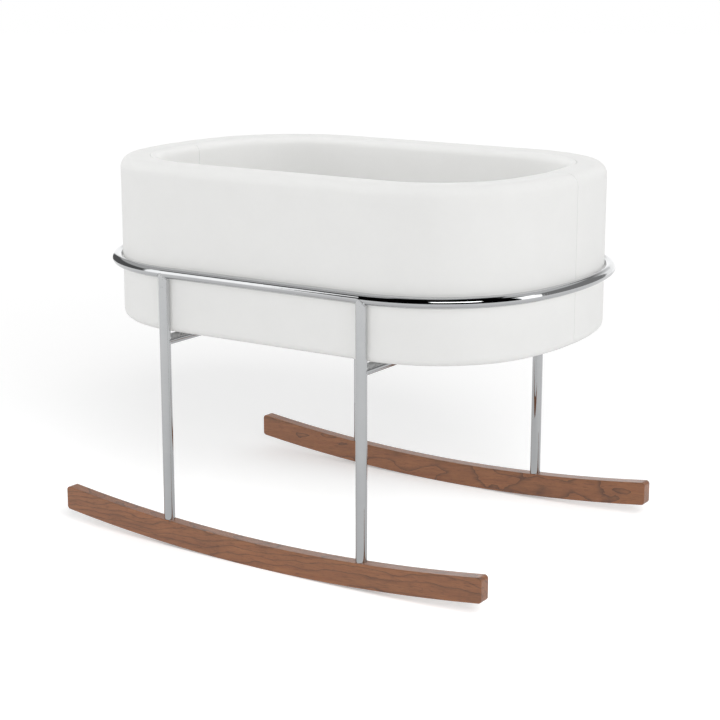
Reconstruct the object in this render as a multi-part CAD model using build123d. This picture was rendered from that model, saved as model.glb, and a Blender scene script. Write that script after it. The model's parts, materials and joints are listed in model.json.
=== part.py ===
from build123d import *
import math
import os

"""Rocking bassinet: an upholstered oval basket that stands in a chromed tube frame on two
curved walnut runners.

Frame of reference: +X along the bassinet's length, -Y towards the front, +Z up. The origin is
on the floor under the middle of the basket. All sizes are in millimetres.
"""

os.makedirs("parts", exist_ok=True)

# ---------------------------------------------------------------- driving dimensions
TUBE_D = 18.0               # one bent tube size throughout the frame
TUBE_WALL = 1.5

RING_HALF_LENGTH = 411.0    # to the tube's centreline
RING_HALF_WIDTH = 281.0
RING_CORNER_R = 213.0       # the plan's four corner arcs
RING_END_R = 510.0          # the plan's two shallow end arcs
RING_Z = 458.5

LEG_X = 190.0               # the legs stand under the ring's two long sides

RUNNER_BEND_R = 3120.0      # the runner's underside
RUNNER_HEIGHT = 40.0
RUNNER_WIDTH = 22.0
RUNNER_HALF_LENGTH = 408.0
RUNNER_TIP_R = 6.0
RUNNER_EDGE_R = 1.5

BASKET_BOTTOM_Z = 358.0
BASKET_TOP_Z = 629.0
BASKET_WALL = 64.0          # whole upholstered wall
RING_CLEARANCE = 0.5        # between the ring and the basket's cover
RIM_OUTER_R = 20.0
RIM_INNER_R = 10.0
BASE_EDGE_R = 12.0

COVER_T = 1.5               # upholstery cloth with its backing
DUST_COVER_T = 1.0
CORE_OUTER = 21.5           # bent plywood core, as depths from the basket's outer face
CORE_INNER = 33.5
CORE_TOP_Z = 603.0
BOARD_T = 12.0
COVER_HEM = 45.0            # the cover turns in this far under the board
DUST_COVER_INSET = 30.0
RIM_SEAM = BASKET_WALL - RIM_INNER_R

MATTRESS_GAP = 4.0
MATTRESS_T = 38.0
MATTRESS_COVER_T = 1.5
SHEET_T = 1.0
MATTRESS_EDGE_R = 9.0

BOLT_D = 8.0
BOLT_LENGTH = 45.0
BOLT_HEAD_D = 13.0
BOLT_HEAD_H = 8.0
BOLT_SOCKET_AF = 6.0
BOLT_SOCKET_DEPTH = 4.5
COUNTERBORE_D = 17.0
COUNTERBORE_DEPTH = 14.0
WASHER_D = 16.0
WASHER_T = 1.6
INSERT_LENGTH = 24.0
HOLE_CLEARANCE = 0.1        # radial, round each bolt

PAD_T = 1.5
PAD_WIDTH = 12.0
PAD_LENGTH = 60.0
PAD_Y = 175.0

SPLICE_T = 9.0
SPLICE_HALF_WIDTH = 60.0
SPLICE_BOTTOM_Z = 395.0
SPLICE_TOP_Z = 580.0
SPLICE_SCREW_Y = 35.0
SPLICE_SCREW_LENGTH = 18.0
BASE_SCREW_LENGTH = 40.0
SCREW_D = 4.0
SCREW_HEAD_D = 8.0
SCREW_HEAD_H = 2.6
SCREW_DRIVE_W = 0.9

STAPLE_COUNT = 36
STAPLE_CROWN = 10.0
STAPLE_WIRE = 0.7
STAPLE_LEG = 8.0
STAPLE_INSET = 38.0
BASE_SCREW_COUNT = 14
TINY = 0.05                 # for picking out edges by where they lie

# ---------------------------------------------------------------- worked-out dimensions
TUBE_R = TUBE_D / 2
BASKET_INSET = TUBE_R + RING_CLEARANCE
CROSSBAR_Z = BASKET_BOTTOM_Z - PAD_T - TUBE_R
HEM_Z = BASKET_BOTTOM_Z + DUST_COVER_T
BOARD_Z = HEM_Z + COVER_T
BOARD_TOP_Z = BOARD_Z + BOARD_T
FLOOR_TOP_Z = BOARD_TOP_Z + COVER_T
INNER_SKIN = BASKET_WALL - COVER_T

END_CENTRE_X = RING_HALF_LENGTH - RING_END_R
CORNER_CENTRE_Y = RING_HALF_WIDTH - RING_CORNER_R
CORNER_CENTRE_X = END_CENTRE_X + math.sqrt(
    (RING_END_R - RING_CORNER_R) ** 2 - CORNER_CENTRE_Y**2
)
CORNER_START = math.atan2(CORNER_CENTRE_Y, CORNER_CENTRE_X - END_CENTRE_X)

SIDES = (("left", -1), ("right", 1))
FACES = (("front", -1), ("back", 1))


def save(name, shape):
    """Writes one sub-part."""
    export_step(shape, f"parts/{name}.step")


# ---------------------------------------------------------------- the oval plan
def oval_face(inset, z=0.0):
    """The ring's centreline plan, moved in by inset: two straight sides, four corner arcs
    and two shallow end arcs, all tangent."""
    corner_r = RING_CORNER_R - inset
    end_r = RING_END_R - inset
    mid_corner = (CORNER_START + math.pi / 2) / 2

    def corner_point(angle, sx, sy):
        x = CORNER_CENTRE_X + corner_r * math.cos(angle)
        y = CORNER_CENTRE_Y + corner_r * math.sin(angle)
        return (sx * x, sy * y, z)

    edges = []
    for sy in (1, -1):
        edges.append(Line(corner_point(math.pi / 2, -sy, sy), corner_point(math.pi / 2, sy, sy)))
        for sx in (1, -1):
            edges.append(ThreePointArc(
                corner_point(math.pi / 2, sx, sy),
                corner_point(mid_corner, sx, sy),
                corner_point(CORNER_START, sx, sy),
            ))
    for sx in (1, -1):
        edges.append(ThreePointArc(
            corner_point(CORNER_START, sx, 1),
            (sx * (END_CENTRE_X + end_r), 0, z),
            corner_point(CORNER_START, sx, -1),
        ))
    return Face(Wire(edges))


def oval_block(inset, z0, z1):
    """A solid oval between two heights."""
    return extrude(oval_face(inset, z0), amount=z1 - z0, dir=(0, 0, 1))


def oval_wall(outer_inset, inner_inset, z0, z1):
    """An oval wall between two depths."""
    return oval_block(outer_inset, z0, z1) - oval_block(inner_inset, z0 - 1, z1 + 1)


def half(shape, side):
    """The front (side -1) or back (side 1) half of an oval piece."""
    reach = 1000.0
    return shape & Pos(0, side * reach / 2, 0) * Box(2 * reach, reach, 2 * reach)


def oval_points(inset, count, skip=lambda x, y: False):
    """Points evenly spaced along the oval, each with the direction it runs in."""
    outline = oval_face(inset).outer_wire()
    points = []
    for i in range(count):
        t = (i + 0.5) / count
        p = outline.position_at(t)
        d = outline.tangent_at(t)
        if not skip(p.X, p.Y):
            points.append((p.X, p.Y, math.degrees(math.atan2(d.Y, d.X))))
    return points


# ---------------------------------------------------------------- stand
def ring_tube(radius):
    """A solid ring of the given tube radius along the oval."""
    path = oval_face(0, RING_Z).outer_wire()
    start = path.position_at(0)
    section = Plane(origin=start, z_dir=path.tangent_at(0)) * Circle(radius)
    return sweep(section, path=path)


def frame_ring():
    """Hollow tube bent round the basket and closed by one weld."""
    return ring_tube(TUBE_R) - ring_tube(TUBE_R - TUBE_WALL)


def runner_outline():
    """The runner's bent strip, seen from the front."""
    bottom_centre = RUNNER_BEND_R
    top_r = RUNNER_BEND_R - RUNNER_HEIGHT

    def arc_z(radius, x):
        return bottom_centre - math.sqrt(radius**2 - x**2)

    x = RUNNER_HALF_LENGTH
    lower = ThreePointArc((-x, 0, arc_z(RUNNER_BEND_R, x)), (0, 0, 0),
                          (x, 0, arc_z(RUNNER_BEND_R, x)))
    upper = ThreePointArc((-x, 0, arc_z(top_r, x)), (0, 0, RUNNER_HEIGHT),
                          (x, 0, arc_z(top_r, x)))
    ends = [Line(lower @ i, upper @ i) for i in (0, 1)]
    return Face(Wire([lower, upper] + ends))


def plain_runner(side):
    """The runner before it is drilled, with its tips and long edges rounded."""
    blank = extrude(runner_outline(), amount=RUNNER_WIDTH / 2, dir=(0, 1, 0), both=True)
    tips = blank.edges().filter_by(Axis.Y)
    blank = fillet(tips, RUNNER_TIP_R)
    long_edges = [e for e in blank.edges()
                  if abs(abs(e.center().Y) - RUNNER_WIDTH / 2) < 0.01]
    blank = fillet(long_edges, RUNNER_EDGE_R)
    return Pos(0, side * RING_HALF_WIDTH, 0) * blank


def runner_underside_z(x):
    """Height of the runner's underside at x."""
    return RUNNER_BEND_R - math.sqrt(RUNNER_BEND_R**2 - x**2)


BOLT_SEAT_Z = runner_underside_z(LEG_X) + COUNTERBORE_DEPTH
LEG_FOOT_Z = RUNNER_BEND_R - math.sqrt((RUNNER_BEND_R - RUNNER_HEIGHT) ** 2 - LEG_X**2)


def at_legs(y_sides=(-1, 1)):
    """Where the legs stand."""
    return [Pos(sx * LEG_X, sy * RING_HALF_WIDTH, 0) for sy in y_sides for sx in (-1, 1)]


def upright(radius, z0, z1):
    """A vertical cylinder on the Z axis."""
    return Pos(0, 0, (z0 + z1) / 2) * Cylinder(radius, z1 - z0)


def runner(side):
    """Walnut runner, counterbored from below under each leg."""
    part = plain_runner(side)
    for place in at_legs((side,)):
        part -= place * upright(BOLT_D / 2 + 2 * HOLE_CLEARANCE, -1, RUNNER_HEIGHT * 2)
        part -= place * upright(COUNTERBORE_D / 2, -1, BOLT_SEAT_Z)
    return part


def leg(sx, sy, ring_solid, runner_solid):
    """Tube from the runner's top to the ring, its head coped to the ring."""
    tube = upright(TUBE_R, RUNNER_HEIGHT / 2, RING_Z)
    tube -= upright(TUBE_R - TUBE_WALL, 0, RING_Z + 1)
    tube = Pos(sx * LEG_X, sy * RING_HALF_WIDTH, 0) * tube
    pieces = (tube - ring_solid - runner_solid).solids()
    return max(pieces, key=lambda s: s.volume)


def crossbar(sx):
    """Tube between the front and back legs, just under the basket."""
    bar = Rot(90, 0, 0) * Cylinder(TUBE_R, 2 * RING_HALF_WIDTH)
    bar -= Rot(90, 0, 0) * Cylinder(TUBE_R - TUBE_WALL, 2 * RING_HALF_WIDTH + 2)
    bar = Pos(sx * LEG_X, 0, CROSSBAR_Z) * bar
    for sy in (-1, 1):
        bar -= Pos(sx * LEG_X, sy * RING_HALF_WIDTH, 0) * upright(TUBE_R, 0, RING_Z)
    return max(bar.solids(), key=lambda s: s.volume)


def leg_inserts(runner_pair):
    """Threaded plugs welded into the feet of the legs."""
    plug = upright(TUBE_R - TUBE_WALL, RUNNER_HEIGHT / 2, LEG_FOOT_Z + INSERT_LENGTH)
    plug -= upright(BOLT_D / 2 + HOLE_CLEARANCE, 0, RING_Z)
    solids = []
    for place in at_legs():
        cut = place * plug - runner_pair
        solids.append(max(cut.solids(), key=lambda s: s.volume))
    return Compound(children=solids)


def runner_bolts():
    """Socket-head bolts from below, through each runner into a leg."""
    head_top = BOLT_SEAT_Z - WASHER_T
    head = upright(BOLT_HEAD_D / 2, head_top - BOLT_HEAD_H, head_top)
    socket = extrude(RegularPolygon(BOLT_SOCKET_AF / 2, 6, major_radius=False),
                     amount=BOLT_SOCKET_DEPTH)
    head = chamfer(head.edges().group_by(Axis.Z)[0], 0.6)
    head -= Pos(0, 0, head_top - BOLT_HEAD_H) * socket
    shank = upright(BOLT_D / 2, head_top, head_top + BOLT_LENGTH)
    bolt = head + chamfer(shank.edges().group_by(Axis.Z)[-1], 0.8)
    return Compound(children=[place * bolt for place in at_legs()])


def runner_washers():
    """One washer under each bolt head."""
    washer = upright(WASHER_D / 2, BOLT_SEAT_Z - WASHER_T, BOLT_SEAT_Z)
    washer -= upright(BOLT_D / 2 + 2 * HOLE_CLEARANCE, 0, RING_Z)
    return Compound(children=[place * washer for place in at_legs()])


def crossbar_pads():
    """Rubber saddles on the crossbars, two to a bar, that the basket stands on."""
    depth = 5.0
    pad = Pos(0, 0, BASKET_BOTTOM_Z - depth / 2) * Box(PAD_WIDTH, PAD_LENGTH, depth)
    pad -= Pos(0, 0, CROSSBAR_Z) * Rot(90, 0, 0) * Cylinder(TUBE_R, 2 * PAD_LENGTH)
    solids = []
    for sx in (-1, 1):
        for sy in (-1, 1):
            solids.append(Pos(sx * LEG_X, sy * PAD_Y, 0) * pad)
    return Compound(children=solids)


# ---------------------------------------------------------------- basket
def plan_depth(point):
    """How far a point lies inside the basket's outer face, in plan."""
    x, y = abs(point.X), abs(point.Y)
    if x <= CORNER_CENTRE_X:
        inset = RING_HALF_WIDTH - y
    elif math.atan2(y, x - END_CENTRE_X) < CORNER_START:
        inset = RING_END_R - math.hypot(x - END_CENTRE_X, y)
    else:
        inset = RING_CORNER_R - math.hypot(x - CORNER_CENTRE_X, y - CORNER_CENTRE_Y)
    return inset - BASKET_INSET


def edges_at(shape, z, depth):
    """The edges of a shape that run round the oval at one height and one depth."""
    return [e for e in shape.edges()
            if abs(e.position_at(0.5).Z - z) < TINY and abs(e.position_at(0).Z - z) < TINY
            and abs(plan_depth(e.position_at(0.5)) - depth) < TINY]


def basket_block(depth, z0, z1):
    """A solid oval whose side lies the given depth inside the basket's outer face."""
    return oval_block(BASKET_INSET + depth, z0, z1)


def basket_wall(outer_depth, inner_depth, z0, z1):
    """An oval wall between two depths inside the basket's outer face."""
    return basket_block(outer_depth, z0, z1) - basket_block(inner_depth, z0 - 1, z1 + 1)


def rounded_wall(skin):
    """The whole upholstered wall less a skin of the given thickness all over."""
    z0, z1 = HEM_Z + skin, BASKET_TOP_Z - skin
    wall = basket_wall(skin, BASKET_WALL - skin, z0, z1)
    wall = fillet(edges_at(wall, z1, skin), RIM_OUTER_R - skin)
    wall = fillet(edges_at(wall, z1, BASKET_WALL - skin), RIM_INNER_R - skin)
    return fillet(edges_at(wall, z0, skin), BASE_EDGE_R - skin)


def upholstery():
    """The cloth over the wall: the outer cover, and the liner that it is sewn to along the
    inner edge of the rim."""
    cloth = rounded_wall(0) - rounded_wall(COVER_T)
    above, below = BASKET_TOP_Z + 1, BASKET_BOTTOM_Z - 1
    cover = cloth - basket_block(RIM_SEAM, BOARD_TOP_Z, above)
    cover -= basket_block(COVER_HEM, below, BOARD_TOP_Z)
    liner = cloth & basket_block(RIM_SEAM, BOARD_TOP_Z, above)
    return cover, liner


def foam_outer():
    """Foam sheet round the outside of the core and the edge of the base board."""
    foam = basket_wall(COVER_T, CORE_OUTER, BOARD_Z, CORE_TOP_Z)
    return fillet(edges_at(foam, BOARD_Z, COVER_T), BASE_EDGE_R - COVER_T)


def rim_foam():
    """Foam roll over the top of the core."""
    return rounded_wall(COVER_T) & basket_block(0, CORE_TOP_Z, BASKET_TOP_Z)


def base_board():
    """Plywood floor of the basket."""
    return basket_block(CORE_OUTER, BOARD_Z, BOARD_TOP_Z)


def wall_core():
    """Bent plywood hoop that stands on the base board."""
    return basket_wall(CORE_OUTER, CORE_INNER, BOARD_TOP_Z, CORE_TOP_Z)


def wall_splice(sx):
    """Curved plywood plate that joins the two halves of the core at one end."""
    plate = basket_wall(CORE_INNER, CORE_INNER + SPLICE_T, SPLICE_BOTTOM_Z, SPLICE_TOP_Z)
    reach = 2 * RING_HALF_LENGTH
    return plate & Pos(sx * reach / 2, 0, 0) * Box(reach, 2 * SPLICE_HALF_WIDTH, reach * 2)


def screw(length):
    """Countersunk wood screw pointing along +Z, its head's face at z = 0."""
    radius, head_r = SCREW_D / 2, SCREW_HEAD_D / 2
    head = Pos(0, 0, SCREW_HEAD_H / 2) * Cone(head_r, radius, SCREW_HEAD_H)
    shank = upright(radius, SCREW_HEAD_H, length - SCREW_D)
    point = Pos(0, 0, length - SCREW_D / 2) * Cone(radius, radius / 4, SCREW_D)
    return head + shank + point


def drilled(shape, places, length):
    """A wooden piece with a hole for each screw, open past the screw's head."""
    way_in = upright(SCREW_HEAD_D / 2, -1, 0)
    for place in places:
        shape -= place * (screw(length) + way_in)
    return shape


def driven(places, length):
    """A group of identical screws, each with a cross recess in its head."""
    slot = Box(SCREW_D, SCREW_DRIVE_W, SCREW_DRIVE_W * 2)
    recess = slot + Rot(0, 0, 90) * slot
    return Compound(children=[place * (screw(length) - recess) for place in places])


def oval_half_length(inset):
    """Half length of the oval at an inset."""
    return END_CENTRE_X + RING_END_R - inset


def splice_screw_places():
    """Four screws through each splice plate into the core, two for each half."""
    inner_x = oval_half_length(BASKET_INSET + CORE_INNER + SPLICE_T)
    lean = math.degrees(math.asin(SPLICE_SCREW_Y / (inner_x - END_CENTRE_X)))
    places = []
    for turn in (0, 180):
        for sy in (-1, 1):
            swing = Rot(0, 0, turn) * Pos(END_CENTRE_X, 0, 0) * Rot(0, 0, sy * lean)
            for z in (SPLICE_BOTTOM_Z + SPLICE_SCREW_Y, SPLICE_TOP_Z - SPLICE_SCREW_Y):
                places.append(swing * Pos(inner_x - END_CENTRE_X, 0, z) * Rot(0, 90, 0))
    return places


def base_screw_places():
    """Screws up through the base board into the lower edge of the core."""
    middle = BASKET_INSET + (CORE_OUTER + CORE_INNER) / 2
    return [Pos(x, y, BOARD_Z) for x, y, _ in oval_points(middle, BASE_SCREW_COUNT)]


def staple():
    """Wire staple, crown down, legs up."""
    crown = Pos(0, 0, STAPLE_WIRE / 2) * Box(STAPLE_CROWN, STAPLE_WIRE, STAPLE_WIRE)
    for sx in (-1, 1):
        x = sx * (STAPLE_CROWN - STAPLE_WIRE) / 2
        crown += Pos(x, 0, STAPLE_LEG / 2) * Box(STAPLE_WIRE, STAPLE_WIRE, STAPLE_LEG)
    return crown


def cover_staples():
    """Staples that hold the cover's hem and the dust cover to the base board."""
    def over_crossbar(x, y):
        return abs(abs(x) - LEG_X) < PAD_WIDTH

    solids = []
    for x, y, turn in oval_points(BASKET_INSET + STAPLE_INSET, STAPLE_COUNT, over_crossbar):
        solids.append(Pos(x, y, BASKET_BOTTOM_Z) * Rot(0, 0, turn) * staple())
    return Compound(children=solids)


# ---------------------------------------------------------------- mattress
def mattress_block(skin):
    """The mattress less a skin of the given thickness all over, its edges rounded."""
    z0, z1 = FLOOR_TOP_Z + skin, FLOOR_TOP_Z + MATTRESS_T - skin
    depth = BASKET_WALL + MATTRESS_GAP + skin
    block = basket_block(depth, z0, z1)
    for z in (z0, z1):
        block = fillet(edges_at(block, z, depth), MATTRESS_EDGE_R - skin)
    return block


# ---------------------------------------------------------------- assembly
def main():
    """Builds every piece, cuts the seats that pieces share, and writes the files."""
    ring_solid = ring_tube(TUBE_R)
    blanks = {side: plain_runner(side) for _, side in FACES}

    save("frame_ring", frame_ring())
    for face, sy in FACES:
        save(f"runner_{face}", runner(sy))
        for side, sx in SIDES:
            save(f"leg_{face}_{side}", leg(sx, sy, ring_solid, blanks[sy]))
    for side, sx in SIDES:
        save(f"crossbar_{side}", crossbar(sx))
    save("leg_inserts", leg_inserts(blanks[-1] + blanks[1]))
    save("runner_bolts", runner_bolts())
    save("runner_washers", runner_washers())
    save("crossbar_pads", crossbar_pads())

    long_places, short_places = base_screw_places(), splice_screw_places()
    staples = cover_staples()
    cover, liner = upholstery()
    board = drilled(base_board(), long_places, BASE_SCREW_LENGTH)
    core = drilled(wall_core(), long_places, BASE_SCREW_LENGTH)
    core = drilled(core, short_places, SPLICE_SCREW_LENGTH)
    foam_inner = basket_wall(CORE_INNER, INNER_SKIN, BOARD_TOP_Z, CORE_TOP_Z)
    for side, sx in SIDES:
        plate = wall_splice(sx)
        foam_inner -= plate
        save(f"wall_splice_{side}", drilled(plate, short_places, SPLICE_SCREW_LENGTH))
    dust = basket_block(DUST_COVER_INSET, BASKET_BOTTOM_Z, HEM_Z)

    save("base_board", board - staples)
    save("liner_floor", basket_block(BASKET_WALL, BOARD_TOP_Z, FLOOR_TOP_Z))
    save("dust_cover", dust - staples)
    save("base_screws", driven(long_places, BASE_SCREW_LENGTH))
    save("splice_screws", driven(short_places, SPLICE_SCREW_LENGTH))
    save("cover_staples", staples)
    halves = {"wall_core": core, "foam_outer": foam_outer(), "foam_inner": foam_inner,
              "rim_foam": rim_foam(), "cover": cover - staples, "liner": liner}
    for name, shape in halves.items():
        for face, sy in FACES:
            save(f"{name}_{face}", half(shape, sy))

    sheet, ticking, foam = (mattress_block(t) for t in
                            (0, SHEET_T, SHEET_T + MATTRESS_COVER_T))
    save("fitted_sheet", sheet - ticking)
    save("mattress_cover", ticking - foam)
    save("mattress_foam", foam)


main()
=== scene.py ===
import json
import logging
import math
from dataclasses import dataclass, field
from enum import Enum
from typing import Callable

import bmesh
import bpy
from mathutils import Matrix, Vector, noise

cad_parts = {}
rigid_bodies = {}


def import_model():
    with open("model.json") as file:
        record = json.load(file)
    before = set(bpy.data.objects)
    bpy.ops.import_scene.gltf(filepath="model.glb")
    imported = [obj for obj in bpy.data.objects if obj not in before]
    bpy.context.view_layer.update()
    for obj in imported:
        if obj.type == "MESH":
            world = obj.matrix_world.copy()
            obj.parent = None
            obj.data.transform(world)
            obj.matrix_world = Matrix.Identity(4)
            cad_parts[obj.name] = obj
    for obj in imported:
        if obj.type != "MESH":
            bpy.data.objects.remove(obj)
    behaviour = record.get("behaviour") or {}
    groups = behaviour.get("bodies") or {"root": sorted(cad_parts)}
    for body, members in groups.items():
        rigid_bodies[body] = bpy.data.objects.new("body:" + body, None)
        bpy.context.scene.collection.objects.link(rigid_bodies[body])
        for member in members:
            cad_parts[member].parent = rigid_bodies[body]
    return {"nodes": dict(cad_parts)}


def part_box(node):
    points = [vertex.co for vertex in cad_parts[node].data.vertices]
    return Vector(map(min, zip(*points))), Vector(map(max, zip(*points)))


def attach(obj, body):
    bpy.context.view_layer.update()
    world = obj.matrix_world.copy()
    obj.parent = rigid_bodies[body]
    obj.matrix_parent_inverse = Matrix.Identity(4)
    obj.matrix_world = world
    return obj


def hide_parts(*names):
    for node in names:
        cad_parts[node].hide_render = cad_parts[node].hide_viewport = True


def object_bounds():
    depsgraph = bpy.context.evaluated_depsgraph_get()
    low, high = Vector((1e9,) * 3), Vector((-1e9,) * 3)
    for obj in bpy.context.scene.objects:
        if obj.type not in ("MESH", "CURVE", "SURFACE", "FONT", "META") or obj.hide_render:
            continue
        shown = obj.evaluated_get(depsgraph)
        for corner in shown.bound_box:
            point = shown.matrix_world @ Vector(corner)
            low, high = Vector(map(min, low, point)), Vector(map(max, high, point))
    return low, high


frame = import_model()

CAD_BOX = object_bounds()
MM = 0.001
TUBE_R = 9 * MM
THIN_TUBES = ("frame_ring", "leg_", "crossbar_")

log = logging.getLogger("bassinet")

MERGE_DIST = 1e-5
WHITE = (1.0, 1.0, 1.0)
RING_PITCH_AT_SCALE_1 = 0.314

Point2 = tuple[float, float]
Colour = tuple[float, float, float]
Triple = tuple[float, float, float]
Socket = bpy.types.NodeSocket
Feed = bpy.types.NodeSocket | float | tuple[float, ...]
Elements = list[bmesh.types.BMVert | bmesh.types.BMEdge]
Layers = list[bmesh.types.BMLayerItem]


# ------------------------------------------------------------------ named options
class Body(Enum):
    """The CAD bodies that pieces ride on."""

    STAND = "stand"
    BASKET = "basket"
    MATTRESS = "mattress"


class Half(Enum):
    """The two halves that the upholstery is sewn from."""

    FRONT = "front"
    BACK = "back"

    @property
    def turn(self) -> float:
        """Turn about Z from the front half to this one, in radians."""
        return 0.0 if self is Half.FRONT else math.pi

    @property
    def seed(self) -> float:
        """Offset that gives each half its own unevenness."""
        return 0.0 if self is Half.FRONT else 7.3


class Lit(Enum):
    """What a studio light falls on."""

    OBJECT = "object"
    FLOOR = "floor"


class Slot(Enum):
    """The record's material slots."""

    CHROME = "chrome_tube"
    WALNUT = "walnut"
    ZINC = "zinc_steel"
    RUBBER = "rubber_pad"
    PLYWOOD = "plywood"
    FOAM = "foam"
    COVER = "cover_cloth"
    LINER = "liner_cloth"
    DUST = "dust_cloth"
    COTTON = "cotton_sheet"


# ------------------------------------------------------------------ shader building
class Shader:
    """A node tree being built."""

    def __init__(self, tree: bpy.types.NodeTree) -> None:
        """Starts on a tree.

        Args:
            tree: The tree that nodes are added to.
        """
        self.tree = tree

    def node(self, kind: str, inputs: dict | None = None, **settings) -> bpy.types.Node:
        """Adds a node.

        Args:
            kind: Blender's node type.
            inputs: Values or sockets for the node's inputs, by name or number.
            settings: The node's own properties.

        Returns:
            The new node.
        """
        made = self.tree.nodes.new(kind)
        for name, value in settings.items():
            setattr(made, name, value)
        for name, value in (inputs or {}).items():
            self.feed(made.inputs[name], value)
        return made

    def feed(self, socket: Socket, value: Feed) -> None:
        """Links a socket to an input, or sets the input's value.

        Args:
            socket: The input.
            value: A socket, a number, or a colour or vector.
        """
        if isinstance(value, bpy.types.NodeSocket):
            self.tree.links.new(value, socket)
        elif isinstance(value, tuple) and len(value) == 3 and socket.type == "RGBA":
            socket.default_value = (*value, 1.0)
        else:
            socket.default_value = value

    def math(self, operation: str, a: Feed, b: Feed = 0.0, clamp: bool = False) -> Socket:
        """Adds a Math node.

        Args:
            operation: What it does.
            a: First number or socket.
            b: Second number or socket.
            clamp: Keeps the result from 0 to 1.

        Returns:
            Its result.
        """
        made = self.node("ShaderNodeMath", {0: a, 1: b}, operation=operation, use_clamp=clamp)
        return made.outputs[0]

    def mix(self, factor: Feed, a: Feed, b: Feed) -> Socket:
        """Mixes two colours.

        Args:
            factor: Share of the second one.
            a: First colour or socket.
            b: Second colour or socket.

        Returns:
            The mixed colour.
        """
        made = self.node("ShaderNodeMix", data_type="RGBA")
        self.feed(made.inputs[0], factor)
        self.feed(made.inputs[6], a)
        self.feed(made.inputs[7], b)
        return made.outputs[2]

    def span(
        self, value: Feed, low: float, high: float, to_low: float, to_high: float
    ) -> Socket:
        """Maps a value from one range to another, without going outside it.

        Args:
            value: The socket.
            low: Start of its range.
            high: End of its range.
            to_low: Result at low.
            to_high: Result at high.

        Returns:
            The mapped value.
        """
        made = self.node(
            "ShaderNodeMapRange", {0: value, 1: low, 2: high, 3: to_low, 4: to_high}
        )
        return made.outputs[0]

    def noise(
        self, vector: Socket, scale: Feed, detail: float = 3.0, roughness: float = 0.5
    ) -> Socket:
        """Adds a noise value.

        Args:
            vector: Where it is read.
            scale: Its scale.
            detail: Octaves.
            roughness: How strong the fine octaves are.

        Returns:
            The noise, about 0.5 on average.
        """
        made = self.node(
            "ShaderNodeTexNoise",
            {"Vector": vector, "Scale": scale, "Detail": detail, "Roughness": roughness},
        )
        return made.outputs["Fac"]

    def mapped(
        self,
        vector: Socket,
        scale: Triple = (1, 1, 1),
        turn: Triple = (0, 0, 0),
        move: Triple = (0, 0, 0),
    ) -> Socket:
        """Scales, turns and moves a vector.

        Args:
            vector: The vector's socket.
            scale: Scale on each axis.
            turn: Turn about each axis, in degrees.
            move: Move along each axis.

        Returns:
            The mapped vector.
        """
        angles = tuple(math.radians(a) for a in turn)
        made = self.node(
            "ShaderNodeMapping",
            {"Vector": vector, "Scale": scale, "Rotation": angles, "Location": move},
        )
        return made.outputs[0]

    def object_vector(self) -> Socket:
        """The place on the object, in metres."""
        return self.node("ShaderNodeTexCoord").outputs["Object"]

    def uv_vector(self) -> Socket:
        """The place on the cloth, in metres along and across it."""
        return self.node("ShaderNodeTexCoord").outputs["UV"]

    def attribute(self, name: str) -> Socket:
        """A number kept on the piece's points."""
        return self.node("ShaderNodeAttribute", attribute_name=name).outputs["Fac"]

    def bump(
        self,
        height: Socket,
        distance: float,
        strength: float = 1.0,
        normal: Socket | None = None,
    ) -> Socket:
        """Turns a height into a normal.

        Args:
            height: Height, from 0 to 1.
            distance: Metres that a height of 1 stands for.
            strength: Share of it that is used.
            normal: A normal from another bump, to add to.

        Returns:
            The normal.
        """
        inputs = {"Height": height, "Distance": distance, "Strength": strength}
        if normal is not None:
            inputs["Normal"] = normal
        return self.node("ShaderNodeBump", inputs).outputs[0]

    def group(self, tree: bpy.types.NodeTree, **inputs) -> bpy.types.Node:
        """Places a node group.

        Args:
            tree: The group.
            inputs: Its inputs by name, with underscores for spaces.

        Returns:
            The group's node.
        """
        named = {name.replace("_", " "): value for name, value in inputs.items()}
        made = self.tree.nodes.new("ShaderNodeGroup")
        made.node_tree = tree
        for name, value in named.items():
            self.feed(made.inputs[name], value)
        return made


def new_group(
    name: str, inputs: dict[str, str], outputs: dict[str, str]
) -> tuple[Shader, bpy.types.Node, bpy.types.Node]:
    """Starts a node group.

    Args:
        name: The group's name.
        inputs: Socket kind of each input, by name.
        outputs: Socket kind of each output, by name.

    Returns:
        The shader builder, the group's input node and its output node.
    """
    tree = bpy.data.node_groups.new(name, "ShaderNodeTree")
    for way, sockets in (("INPUT", inputs), ("OUTPUT", outputs)):
        for socket, kind in sockets.items():
            tree.interface.new_socket(name=socket, in_out=way, socket_type=kind)
    shader = Shader(tree)
    return shader, shader.node("NodeGroupInput"), shader.node("NodeGroupOutput")


FLOAT, VECTOR = "NodeSocketFloat", "NodeSocketVector"


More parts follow.
